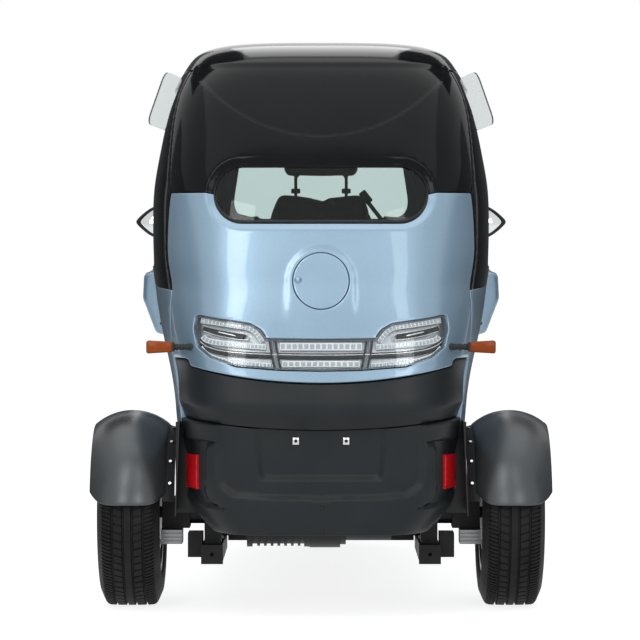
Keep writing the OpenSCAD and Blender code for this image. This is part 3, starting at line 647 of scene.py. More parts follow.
@dataclass
class Ribbon:
    """A band laid on the tail of the cabin form along a path seen from the rear."""

    path: tuple
    profile: tuple
    inset: float = 0.0
    pitch: float = 5.0

    def build(self, bm: Mesh) -> None:
        """Add the band and its mirror image to a mesh, or one band if the path crosses the centre line."""
        line = resample(self.path, self.pitch)
        for side in ((1, -1) if line[:, 0].min() > 1 else (1,)):
            add_bm(bm, loft(self.rings(line * (side, 1))))

    def rings(self, line: np.ndarray) -> list:
        """Cross sections along a line of points.

        Args:
            line: places across and up.

        Returns:
            One ring a point.
        """
        along = np.gradient(line, axis=0)
        along /= np.linalg.norm(along, axis=1)[:, None]
        rings = []
        for p, a in zip(line, along):
            ring = []
            for across, out in self.profile:
                x, z = p[0] - a[1] * across, p[1] + a[0] * across
                ring.append((x, FORM.surface_y(x, z, True, self.inset) - out, z))
            rings.append(np.array(ring))
        return rings


def flat_band(width: float, low: float, high: float, edge: float = 0.8) -> tuple:
    """Section of a band with eased edges: its width, and where its back and face lie."""
    h = width / 2
    return ((-h, low), (h, low), (h, high - edge), (h - edge, high), (-h + edge, high), (-h, high - edge))


@dataclass
class Skin:
    """A patch of the cabin form: a grid laid on it, trimmed to outlines, with turned edges."""

    cuts: tuple
    inset: float = 0.0
    pitch: float = 10.0
    roll: float = ROLL
    depth: float = 14.0
    reliefs: tuple = ()
    around: Optional[tuple] = None
    heights: Optional[tuple] = None
    sides: tuple = (1,)

    def span(self) -> tuple[float, float, float, float]:
        """Find what the kept outlines cover.

        Returns:
            Lowest and highest height, first and last place round the form.
        """
        z0, z1 = FORM.low, FORM.high
        q0, q1 = WHOLE_SPAN
        for cut in (c for c in self.cuts if c.inside):
            ring = cut.outline.ring()
            z0 = max(z0, ring[:, 1].min() - 2 * self.pitch + self.inset)
            z1 = min(z1, ring[:, 1].max() + 2 * self.pitch + self.inset)
        if self.heights:
            z0, z1 = self.heights
        if self.around:
            return z0, z1, *self.around
        for outline in (c.outline for c in self.cuts if c.inside):
            a0, a1 = self.reach(outline, z0, z1)
            if outline.view is View.FRONT:
                q0, q1 = a0, a1
            else:
                q0, q1 = max(q0, a0), min(q1, a1) if q1 <= 1 else a1
        return z0, z1, q0, q1

    def reach(self, outline: Outline, z0: float, z1: float) -> tuple[float, float]:
        """Find the places round the form that an outline covers.

        Args:
            outline: the outline.
            z0: lowest height.
            z1: highest height.

        Returns:
            First and last place.
        """
        ring = outline.ring()
        low, high = [], []
        margin = 2.5 * self.pitch
        for t in FORM.levels_between(z0, z1, 60):
            share, x, y = FORM.half(t, self.inset)
            if outline.view is View.SIDE:
                low.append(np.interp(ring[:, 0].min() - margin, y, share))
                high.append(np.interp(ring[:, 0].max() + margin, y, share))
                continue
            wide = np.abs(ring[:, 0]).max() + margin
            n = FORM.fine
            if outline.view is View.REAR:
                high.append(np.interp(wide, x[:n], share[:n], right=0.46))
                low.append(-high[-1])
            else:
                back = np.interp(wide, x[n:][::-1], share[n:][::-1], right=0.55)
                low.append(back)
                high.append(2 - back)
        return min(low), max(high)

    def build(self, bm: Optional[Mesh] = None) -> Mesh:
        """Lay, trim and turn the skin.

        Args:
            bm: a mesh to add to, or None.

        Returns:
            The mesh, in millimetres.
        """
        bm = bm or bmesh.new()
        z0, z1, q0, q1 = self.span()
        for side in self.sides:
            part = self.lay(z0, z1, q0, q1, side)
            for cut in self.cuts:
                trim(part, cut.value)
            bmesh.ops.dissolve_degenerate(part, edges=part.edges, dist=0.02)
            crown_h = FORM.crown - self.inset
            crown = [e for e in part.edges if e.is_boundary and min(v.co.z for v in e.verts) > crown_h]
            if crown:
                bmesh.ops.holes_fill(part, edges=crown, sides=0)
            face_away(part, Vector((0, FORM.widest, FORM.middle_h)))
            part.normal_update()
            for relief in self.reliefs:
                for line in relief.breaks:
                    score(part, line)
                part.normal_update()
                push = relief.height(coordinates(part))
                for vert, h in zip(part.verts, push):
                    vert.co += vert.normal * h
            if self.roll:
                roll_border(part, self.roll, self.depth)
            add_bm(bm, part)
        return bm

    def lay(self, z0: float, z1: float, q0: float, q1: float, side: int) -> Mesh:
        """Lay an even grid on the form.

        Args:
            z0: lowest height.
            z1: highest height.
            q0: first place round the form.
            q1: last place.
            side: 1 for the right, -1 for its mirror image.

        Returns:
            The grid.
        """
        levels = FORM.levels_between(z0, z1, self.pitch)
        _, x, y = FORM.half(FORM.middle_row, 0)
        length = float(np.sum(np.hypot(np.diff(x), np.diff(y))))
        columns = max(4, int(math.ceil((q1 - q0) * length / self.pitch)))
        places = np.linspace(q0, q1, columns + 1) * side
        table = np.array([FORM.section(t, places, self.inset) for t in levels])
        bm = bmesh.new()
        rows = len(levels) - 1
        bmesh.ops.create_grid(bm, x_segments=columns, y_segments=rows, size=1.0)
        for vert in bm.verts:
            i = round((vert.co.y + 1) / 2 * rows)
            j = round((vert.co.x + 1) / 2 * columns)
            vert.co = Vector(table[i, j])
        bmesh.ops.remove_doubles(bm, verts=bm.verts, dist=0.05)
        return bm


class Graph:
    """A short way to build a node tree."""

    def __init__(self, tree: bpy.types.NodeTree) -> None:
        """Start from an empty tree.

        Args:
            tree: the tree to fill.
        """
        self.tree = tree
        tree.nodes.clear()

    def add(self, kind: str, settings: Optional[dict] = None, **inputs: object) -> bpy.types.Node:
        """Add a node with its settings and inputs.

        Args:
            kind: the node's type.
            settings: attributes to set.
            inputs: values or sockets by input name, with _ for a space, or i0, i1 for an input's number.

        Returns:
            The node.
        """
        node = self.tree.nodes.new(kind)
        for key, value in (settings or {}).items():
            setattr(node, key, value)
        for key, value in inputs.items():
            numbered = key[0] == "i" and key[1:].isdigit()
            socket = node.inputs[int(key[1:]) if numbered else key.replace("_", " ")]
            if isinstance(value, bpy.types.NodeSocket):
                self.tree.links.new(value, socket)
            else:
                socket.default_value = value
        return node

    def maths(self, operation: str, a: object, b: object) -> bpy.types.NodeSocket:
        """The result of one sum on two sockets or values."""
        return self.add("ShaderNodeMath", {"operation": operation}, i0=a, i1=b).outputs[0]

    def seen(self) -> bpy.types.NodeSocket:
        """A socket that is 1 for what the camera sees, also by mirrors and through glass."""
        path = self.add("ShaderNodeLightPath").outputs
        direct = self.maths("MAXIMUM", path["Is Camera Ray"], path["Is Glossy Ray"])
        return self.maths("MAXIMUM", direct, path["Is Transmission Ray"])


def shader_group(name: str, inputs: dict, outputs: Sequence[str], fill: Callable) -> bpy.types.NodeTree:
    """Make a shader node group once.

    Args:
        name: the group's name.
        inputs: default value by input name.
        outputs: names of its value outputs.
        fill: builds the inside from the graph and the group input node, and returns one socket an output.

    Returns:
        The group.
    """
    found = bpy.data.node_groups.get(name)
    if found:
        return found
    tree = bpy.data.node_groups.new(name, "ShaderNodeTree")
    for key, value in inputs.items():
        socket = tree.interface.new_socket(key, in_out="INPUT", socket_type="NodeSocketFloat")
        socket.default_value = value
    for key in outputs:
        tree.interface.new_socket(key, in_out="OUTPUT", socket_type="NodeSocketFloat")
    graph = Graph(tree)
    entry = graph.add("NodeGroupInput")
    leave = graph.add("NodeGroupOutput")
    for key, socket in zip(outputs, fill(graph, entry)):
        tree.links.new(socket, leave.inputs[key])
    return tree


def grain_inside(graph: Graph, entry: bpy.types.Node) -> list:
    """Fine grain: an even mottle and a bump height."""
    place = graph.add("ShaderNodeTexCoord").outputs["Object"]
    fine = graph.add("ShaderNodeTexNoise", Vector=place, Scale=entry.outputs["Scale"], Detail=3.0,
                     Roughness=0.6)
    broad = graph.add("ShaderNodeTexNoise", Vector=place, Scale=7.0, Detail=2.0)
    spread = graph.add("ShaderNodeMapRange", Value=broad.outputs["Fac"], From_Min=0.35, From_Max=0.65)
    return [fine.outputs["Fac"], spread.outputs["Result"]]


def dust_inside(graph: Graph, entry: bpy.types.Node) -> list:
    """Road dust: thicker near the ground, broken up by noise."""
    place = graph.add("ShaderNodeTexCoord").outputs["Object"]
    height = graph.add("ShaderNodeSeparateXYZ", Vector=place).outputs["Z"]
    fall = graph.add("ShaderNodeMapRange", {"interpolation_type": "SMOOTHSTEP"}, Value=height,
                     From_Min=entry.outputs["Low"], From_Max=entry.outputs["High"], To_Min=1.0, To_Max=0.0)
    noise = graph.add("ShaderNodeTexNoise", Vector=place, Scale=38.0, Detail=5.0, Roughness=0.7)
    cut = graph.add("ShaderNodeMapRange", Value=noise.outputs["Fac"], From_Min=0.38, From_Max=0.72)
    both = graph.maths("MULTIPLY", fall.outputs["Result"], cut.outputs["Result"])
    return [graph.maths("MULTIPLY", both, entry.outputs["Amount"])]


def flake_inside(graph: Graph, entry: bpy.types.Node) -> list:
    """Metal flakes in paint: one random tone for each small cell."""
    place = graph.add("ShaderNodeTexCoord").outputs["Object"]
    cells = graph.add("ShaderNodeTexVoronoi", Vector=place, Scale=entry.outputs["Scale"])
    tone = graph.add("ShaderNodeSeparateColor", Color=cells.outputs["Color"])
    return [tone.outputs[0]]


@dataclass(frozen=True)
class Finish:
    """A surface finish: colours, gloss, grain and dust, made once as a material."""

    name: str
    slot: str
    colour: Colour
    second: Optional[Colour] = None
    metallic: float = 0.0
    roughness: float = 0.4
    rough_spread: float = 0.06
    coat: float = 0.0
    coat_roughness: float = 0.04
    grain_scale: float = 900.0
    grain_bump: float = 0.0
    flakes: float = 0.0
    dust: float = 0.0
    dust_top: float = 0.6
    dust_tone: Colour = (0.3, 0.27, 0.23)
    dust_roughness: float = 0.85
    transmission: float = 0.0
    ior: float = 1.45
    glow: float = 0.0
    sheen: float = 0.0
    weave: float = 0.0
    facets: float = 0.0
    specular: float = 0.5

    def material(self) -> bpy.types.Material:
        """The finish as a material, built on first use."""
        label = "finish_" + self.name
        found = bpy.data.materials.get(label)
        if found:
            return found
        made = bpy.data.materials.new(label)
        made.use_nodes = True
        made.diffuse_color = (*self.colour, 1)
        self.fill(Graph(made.node_tree))
        return made

    def fill(self, graph: Graph) -> None:
        """Build the nodes.

        Args:
            graph: the material's graph.
        """
        shader = graph.add("ShaderNodeBsdfPrincipled")
        out = graph.add("ShaderNodeOutputMaterial")
        graph.tree.links.new(self.surface(graph, shader), out.inputs[0])
        plain = {"Metallic": self.metallic, "IOR": self.ior, "Coat Weight": self.coat,
                 "Coat Roughness": self.coat_roughness, "Transmission Weight": self.transmission,
                 "Sheen Weight": self.sheen, "Specular IOR Level": self.specular}
        for key, value in plain.items():
            shader.inputs[key].default_value = value
        # Emission: the lamps' own glow, and also a painted highlight on the red reflectors, which are no
        # lamp.
        if self.glow:
            shader.inputs["Emission Color"].default_value = (*self.colour, 1)
            shader.inputs["Emission Strength"].default_value = self.glow
        grain = graph.add("ShaderNodeGroup", {"node_tree": grain_group()}, Scale=self.grain_scale)
        mottle = grain.outputs["Mottle"]
        mask = mottle
        if self.flakes:
            flakes = graph.add("ShaderNodeGroup", {"node_tree": flake_group()}, Scale=self.flakes)
            mask = flakes.outputs["Tone"]
        second = self.second or tuple(0.88 * c for c in self.colour)
        colour = graph.add("ShaderNodeMix", {"data_type": "RGBA"}, i0=mask, i6=(*self.colour, 1),
                           i7=(*second, 1)).outputs[2]
        smooth, spread = self.roughness, self.rough_spread
        rough = graph.add("ShaderNodeMapRange", Value=mottle, To_Min=max(smooth - spread, 0),
                          To_Max=smooth + spread).outputs["Result"]
        if self.dust:
            dust = graph.add("ShaderNodeGroup", {"node_tree": dust_group()}, Low=0.02, High=self.dust_top,
                             Amount=self.dust)
            dust = dust.outputs["Mask"]
            colour = graph.add("ShaderNodeMix", {"data_type": "RGBA"}, i0=dust, i6=colour,
                               i7=(*self.dust_tone, 1)).outputs[2]
            rough = graph.add("ShaderNodeMix", {"data_type": "FLOAT"}, i0=dust, i2=rough,
                              i3=self.dust_roughness).outputs[0]
        graph.tree.links.new(colour, shader.inputs["Base Color"])
        graph.tree.links.new(rough, shader.inputs["Roughness"])
        self.bump(graph, shader, grain.outputs["Height"])

    def surface(self, graph: Graph, shader: bpy.types.Node) -> bpy.types.NodeSocket:
        """What the output shows: glass also lets the light of the lamps pass straight through.

        Args:
            graph: the material's graph.
            shader: its main shader.

        Returns:
            The shader socket for the output.
        """
        if not self.transmission:
            return shader.outputs[0]
        path = graph.add("ShaderNodeLightPath").outputs
        passing = graph.maths("MAXIMUM", path["Is Shadow Ray"], path["Is Diffuse Ray"])
        clear = graph.add("ShaderNodeBsdfTransparent", Color=(*self.colour, 1))
        both = graph.add("ShaderNodeMixShader", i0=passing, i1=shader.outputs[0], i2=clear.outputs[0])
        return both.outputs[0]

    def bump(self, graph: Graph, shader: bpy.types.Node, grain: bpy.types.NodeSocket) -> None:
        """Join the grain, weave or lens facets to the shader's normal.

        Args:
            graph: the material's graph.
            shader: its shader.
            grain: height of the fine grain.
        """
        height, strength = grain, self.grain_bump
        if self.weave or self.facets:
            place = graph.add("ShaderNodeTexCoord").outputs["Object"]
            turn = graph.add("ShaderNodeMapping", Vector=place, Rotation=(0.3, 0.5, 0.785))
            kind = {"feature": "F1"} if self.facets else {"feature": "SMOOTH_F1"}
            cells = graph.add("ShaderNodeTexVoronoi", kind, Vector=turn.outputs[0],
                              Scale=self.weave or self.facets, Randomness=0.0)
            height, strength = cells.outputs["Distance"], 0.35 if self.facets else 0.18
        if not strength:
            return
        bump = graph.add("ShaderNodeBump", Height=height, Strength=strength, Distance=0.0012)
        graph.tree.links.new(bump.outputs[0], shader.inputs["Normal"])


def grain_group() -> bpy.types.NodeTree:
    """The group of fine grain and mottle."""
    return shader_group("fine_grain", {"Scale": 900.0}, ("Height", "Mottle"), grain_inside)


def dust_group() -> bpy.types.NodeTree:
    """The group of road dust."""
    return shader_group("road_dust", {"Low": 0.0, "High": 0.6, "Amount": 0.5}, ("Mask",), dust_inside)


def flake_group() -> bpy.types.NodeTree:
    """The group of paint flakes."""
    return shader_group("paint_flake", {"Scale": 1500.0}, ("Tone",), flake_inside)


class Palette:
    """The finishes of the vehicle, each with the material slot that it mostly serves."""

    blue = Finish("ice_blue_paint", "blue_paint", (0.27, 0.395, 0.50), (0.22, 0.33, 0.435), metallic=0.6,
                  roughness=0.33, rough_spread=0.03, coat=0.7, flakes=1400.0)
    black = Finish("gloss_black", "gloss_black", (0.0045, 0.005, 0.006), (0.006, 0.007, 0.008),
                   roughness=0.1, rough_spread=0.02, specular=0.13)
    bumper = Finish("moulded_grey", "grey_plastic", (0.017, 0.0205, 0.023), (0.013, 0.0165, 0.019),
                    roughness=0.4, grain_scale=1400.0, grain_bump=0.12, specular=0.3)
    trim = Finish("black_plastic", "black_trim", (0.012, 0.012, 0.013), roughness=0.55, grain_scale=1200.0,
                  grain_bump=0.18)
    lining = Finish("cabin_lining", "black_trim", (0.018, 0.019, 0.021), roughness=0.7, grain_scale=1500.0,
                    grain_bump=0.05)
    guard = Finish("guard_grey", "grey_plastic", (0.080, 0.086, 0.090), (0.065, 0.070, 0.074), metallic=0.6,
                   roughness=0.33, flakes=1800.0, coat=0.25, coat_roughness=0.3)
    frame = Finish("frame_black", "dark_paint", (0.008, 0.0085, 0.009), roughness=0.5, grain_bump=0.08,
                   dust=0.05, specular=0.35)
    alloy = Finish("cast_alloy", "bright_metal", (0.24, 0.25, 0.26), (0.18, 0.19, 0.2), metallic=0.9,
                   roughness=0.36, grain_scale=500.0, grain_bump=0.08, dust=0.15)
    steel = Finish("bright_steel", "bright_metal", (0.62, 0.63, 0.64), metallic=1.0, roughness=0.22)
    chrome = Finish("dark_chrome", "black_trim", (0.016, 0.018, 0.020), (0.011, 0.012, 0.014),
                    roughness=0.3, specular=0.3)
    silver = Finish("lamp_silver", "lamp_lens", (0.52, 0.54, 0.57), (0.42, 0.44, 0.47), metallic=0.5,
                    roughness=0.28)
    led = Finish("lamp_white", "lamp_lens", (0.92, 0.94, 0.96), (0.8, 0.83, 0.86), roughness=0.3, glow=0.12,
                 facets=240.0)
    lens = Finish("clear_lens", "lamp_lens", (0.96, 0.98, 0.98), (0.94, 0.97, 0.97), roughness=0.02,
                  rough_spread=0.0, transmission=1.0, ior=1.3)
    glass = Finish("clear_glass", "clear_glass", (0.70, 0.79, 0.775), (0.69, 0.78, 0.765), roughness=0.0,
                   rough_spread=0.0, transmission=1.0, ior=1.25)
    tint = Finish("tinted_glass", "tinted_glass", (0.05, 0.055, 0.06), (0.045, 0.05, 0.055), roughness=0.02,
                  rough_spread=0.0, transmission=0.85, ior=1.5)
    rubber = Finish("tyre_rubber", "tyre_rubber", (0.007, 0.007, 0.0075), (0.005, 0.005, 0.0055),
                    roughness=0.68, grain_scale=500.0, grain_bump=0.15, dust=0.06, dust_top=0.5,
                    specular=0.3)
    seal = Finish("black_seal", "black_trim", (0.008, 0.008, 0.009), roughness=0.6)
    amber = Finish("amber_lens", "amber_lens", (0.42, 0.075, 0.001), (0.26, 0.04, 0.001), roughness=0.25,
                   coat=0.12, facets=220.0, specular=0.2)
    # The red reflectors glow a little though they are no lamp: this glow is a painted highlight.
    red = Finish("red_reflector_painted_highlight", "red_lens", (0.72, 0.010, 0.016), (0.55, 0.005, 0.010), roughness=0.25,
                 coat=0.4, glow=0.08, facets=300.0)
    fabric = Finish("seat_cover", "seat_fabric", (0.022, 0.023, 0.026), (0.014, 0.015, 0.017),
                    roughness=0.8, sheen=0.3, weave=420.0)
    card = Finish("dark_card", "", (0.16, 0.165, 0.17), roughness=0.9)
    pale_card = Finish("pale_card", "", (0.6, 0.62, 0.64), roughness=0.9)
    pillar = Finish("pillar_trim", "grey_plastic", (0.17, 0.19, 0.19), roughness=0.6, grain_scale=1500.0,
                    grain_bump=0.03)
    rim = Finish("lamp_rim_grey", "black_trim", (0.10, 0.12, 0.15), roughness=0.25, coat=0.5)
    cell = Finish("lamp_cell", "lamp_lens", (0.55, 0.57, 0.6), (0.42, 0.44, 0.47), metallic=0.3,
                  roughness=0.15, coat=0.6)
    vent = Finish("vent_glass", "clear_glass", (0.86, 0.90, 0.90), (0.84, 0.89, 0.89), roughness=0.02,
                  rough_spread=0.0, transmission=0.92, ior=1.15)
    mirror = Finish("mirror_glass", "bright_metal", (0.66, 0.70, 0.69), metallic=1.0, roughness=0.02,
                    rough_spread=0.0)


def put(obj: bpy.types.Object, finish: Finish, nodes: Sequence[str] = (), body: Body = Body.CHASSIS,
        thick: float = 0.0) -> bpy.types.Object:
    """Give a piece its finish, wall and body, and hide the nodes that it stands for.

    Args:
        obj: the piece.
        finish: its finish.
        nodes: nodes that it replaces.
        body: the body that it rides on.
        thick: wall thickness in millimetres, or 0 for none.

    Returns:
        The piece.
    """
    obj.data.materials.clear()
    obj.data.materials.append(finish.material())
    if thick:
        wall = obj.modifiers.new("wall", "SOLIDIFY")
        wall.thickness = thick * MM
        wall.offset = -1
        crisp = obj.modifiers.new("crisp", "EDGE_SPLIT")
        crisp.split_angle = CRISP
    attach(obj, body.value)
    if nodes:
        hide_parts(*nodes)
    LOG.info("%s: %d faces on %s", obj.name, len(obj.data.polygons), body.value)
    return obj


def show(bm: Mesh, name: str, finish: Finish, nodes: Sequence[str] = (), body: Body = Body.CHASSIS,
         thick: float = 0.0, smooth: bool = True) -> None:
    """Make a piece of a mesh in millimetres and dress it.

    Args:
        bm: the mesh, which is freed.
        name: the piece's name.
        finish: its finish.
        nodes: nodes that it replaces.
        body: the body that it rides on.
        thick: wall thickness, or 0 for none.
        smooth: True for smooth shading.
    """
    put(finish_object(bm, name, smooth=smooth), finish, nodes, body, thick)


@dataclass
class Seams:
    """The lines where the cabin's panels meet, in millimetres."""

    rear_split: float = 1095
    roof_split: float = 1432
    cowl: float = 952
    sill: float = 372
    bumper_split: float = 486
    bumper_bow: float = 28
    bow_reach: float = 350
    nose_low: float = 250
    front_bumper: float = 420
    tail: float = -960
    door_back: float = -233
    door_front: float = 527
    under: float = -100
    over: float = 1640
    gap: float = 3.0
    door_gap: float = 5.0
    line_gap: float = 0.6
    line_roll: float = 0.4
    lens_gap: float = 1.5
    arc_r: float = 1400
    arc_z: float = 2010
    arc_end: float = 322
    arc_corner: tuple = ((337, 650), (340, 669), (900, 669), (900, 2400))
    belt: tuple = ((-FAR, 834), (-960, 843), (-100, 884), (FAR, 884), (FAR, 1700), (-FAR, 1700))
    wheel: tuple = ((-1200, 300), (-1200, 468), (-900, 476), (-715, 480), (-560, 456), (-470, 410),
                    (-420, 300))
    field_low: float = 1240
    field_high: float = 1447
    field_half: float = 345
    field_bow: tuple = (0.00125, 2.3e-9)
    window: tuple = (279, 1094, 75)
    lamp_half: tuple = ((0, 720), (138, 722), (152, 744), (180, 760), (262, 772), (319, 782), (324, 745),
                        (314, 700), (280, 674), (215, 652), (104, 643), (0, 641))
    door: tuple = ((520, 379), (520, 952), (270, 1425), (-190, 1425), (-220, 952), (-220, 379))
    door_glass: tuple = ((458, 898), (448, 972), (230, 1375), (-135, 1375), (-160, 890))
    quarter: tuple = ((-295, 905), (-275, 1382), (-610, 1382), (-775, 905))
    glass: tuple = ((-330, 994), (330, 994), (255, 1402), (-255, 1402))
    clear: tuple = ((-284, 1046), (284, 1046), (226, 1374), (-226, 1374))
    head_x: float = 255.0
    head_z: float = 742.0
    head_half: tuple = (90.0, 72.0)
    head_turn: float = math.radians(-18)
    head_squash: float = 0.72
    head_points: int = 48

    @property
    def edge(self) -> float:
        """Distance from a seam to the flat of a panel: half of the gap and the turned edge."""
        return self.gap / 2 + ROLL

    @property
    def door_edge(self) -> float:
        """The same distance at a door."""
        return self.door_gap / 2 + ROLL

    @property
    def line_edge(self) -> float:
        """The same distance at the fine line between two colours."""
        return self.line_gap + ROLL * self.line_roll

    def tail_zone(self) -> Outline:
        """All behind the seam between tail and sides."""
        line = ((self.tail, self.under), (self.tail, 836), (-914, 950), (-868, self.rear_split), (-600, 1440),
                (-445, self.over))
        return Outline(View.SIDE, ((-FAR, self.under), *line, (-FAR, self.over)))

    def roof_zone(self) -> Outline:
        """The roof and the black tail above the rear split."""
        return Outline(View.SIDE, ((-FAR, self.rear_split), (-868, self.rear_split), (-606, self.roof_split),
                                   (FAR, self.roof_split), (FAR, self.over), (-FAR, self.over)))

    def band(self, z0: float, z1: float, y0: float = -FAR, y1: float = FAR) -> Outline:
        """All between two heights and two lengths."""
        return Outline(View.SIDE, ((y0, z0), (y1, z0), (y1, z1), (y0, z1)))

    def rear_arc(self) -> Outline:
        """Inside of the curve between the rear panel and the bumper, with a rounded corner at each end."""
        across = np.linspace(0, self.arc_end, 24)
        half = [(x, self.arc_z - math.sqrt(self.arc_r ** 2 - x * x)) for x in across]
        return Outline(View.REAR, mirrored(half + list(self.arc_corner)), radius=14)

    def above_belt(self) -> Outline:
        """All above the line between blue and black on the sides, which rises from the tail to the doors."""
        return Outline(View.SIDE, self.belt)

    def wheel_arch(self) -> Outline:
        """The shallow arch over a rear wheel in the side panel's lower edge."""
        return Outline(View.SIDE, self.wheel, radius=60)

    def under_bumper(self) -> Outline:
        """All below the seam under the bumper, which bows up to the sides."""
        side = 520
        across = np.linspace(-side, side, 41)
        bow = [(x, self.bumper_split + self.bumper_bow * (x / self.bow_reach) ** 2) for x in across]
        return Outline(View.REAR, tuple(bow) + ((side, self.under), (-side, self.under)))

    def roof_field(self) -> Outline:
        """The sunk field of the black tail panel, with a bowed lower edge."""
        side, (square, fourth) = self.field_half, self.field_bow
        bow = [(x, self.field_low + square * x ** 2 + fourth * x ** 4) for x in np.linspace(-side, side, 47)]
        top = ((side, self.field_high), (-side, self.field_high))
        return Outline(View.REAR, tuple(bow) + top, radius=45)

    def rear_window(self) -> Outline:
        """The rear window."""
        return stadium(View.REAR, *self.window)

    def lamp(self) -> Outline:
        """The tail lamp."""
        return Outline(View.REAR, mirrored(self.lamp_half), radius=8)

    def door_zone(self) -> Outline:
        """A door."""
        return Outline(View.SIDE, self.door, radius=18)

    def door_window(self) -> Outline:
        """The window of a door."""
        return Outline(View.SIDE, self.door_glass, radius=35)

    def quarter_window(self) -> Outline:
        """The window behind a door."""
        return Outline(View.SIDE, self.quarter, radius=35)

    def screen(self) -> Outline:
        """The windscreen."""
        return Outline(View.FRONT, self.glass, radius=45)

    def screen_clear(self) -> Outline:
        """The clear field of the windscreen, inside its printed border."""
        return Outline(View.FRONT, self.clear, radius=60)

    def head_point(self, sign: int, across: float, up: float) -> tuple[float, float]:
        """A point of a headlamp's slanted oval.

        Args:
            sign: 1 for the right lamp, -1 for the left.
            across: distance from the lamp's middle along the oval.
            up: distance across the oval.

        Returns:
            Place across the vehicle and height.
        """
        c, s = math.cos(self.head_turn), math.sin(self.head_turn)
        return (sign * (self.head_x + across * c - up * s),
                self.head_z + self.head_squash * (across * s + up * c))

    def headlamp(self) -> tuple:
        """Both headlamps."""
        half_w, half_h = self.head_half
        turns = [2 * math.pi * k / self.head_points for k in range(self.head_points)]
        rings = [tuple(self.head_point(sign, half_w * math.cos(a), half_h * math.sin(a)) for a in turns)
                 for sign in PAIR]
        return tuple(Outline(View.FRONT, ring) for ring in rings)


SEAMS = Seams()


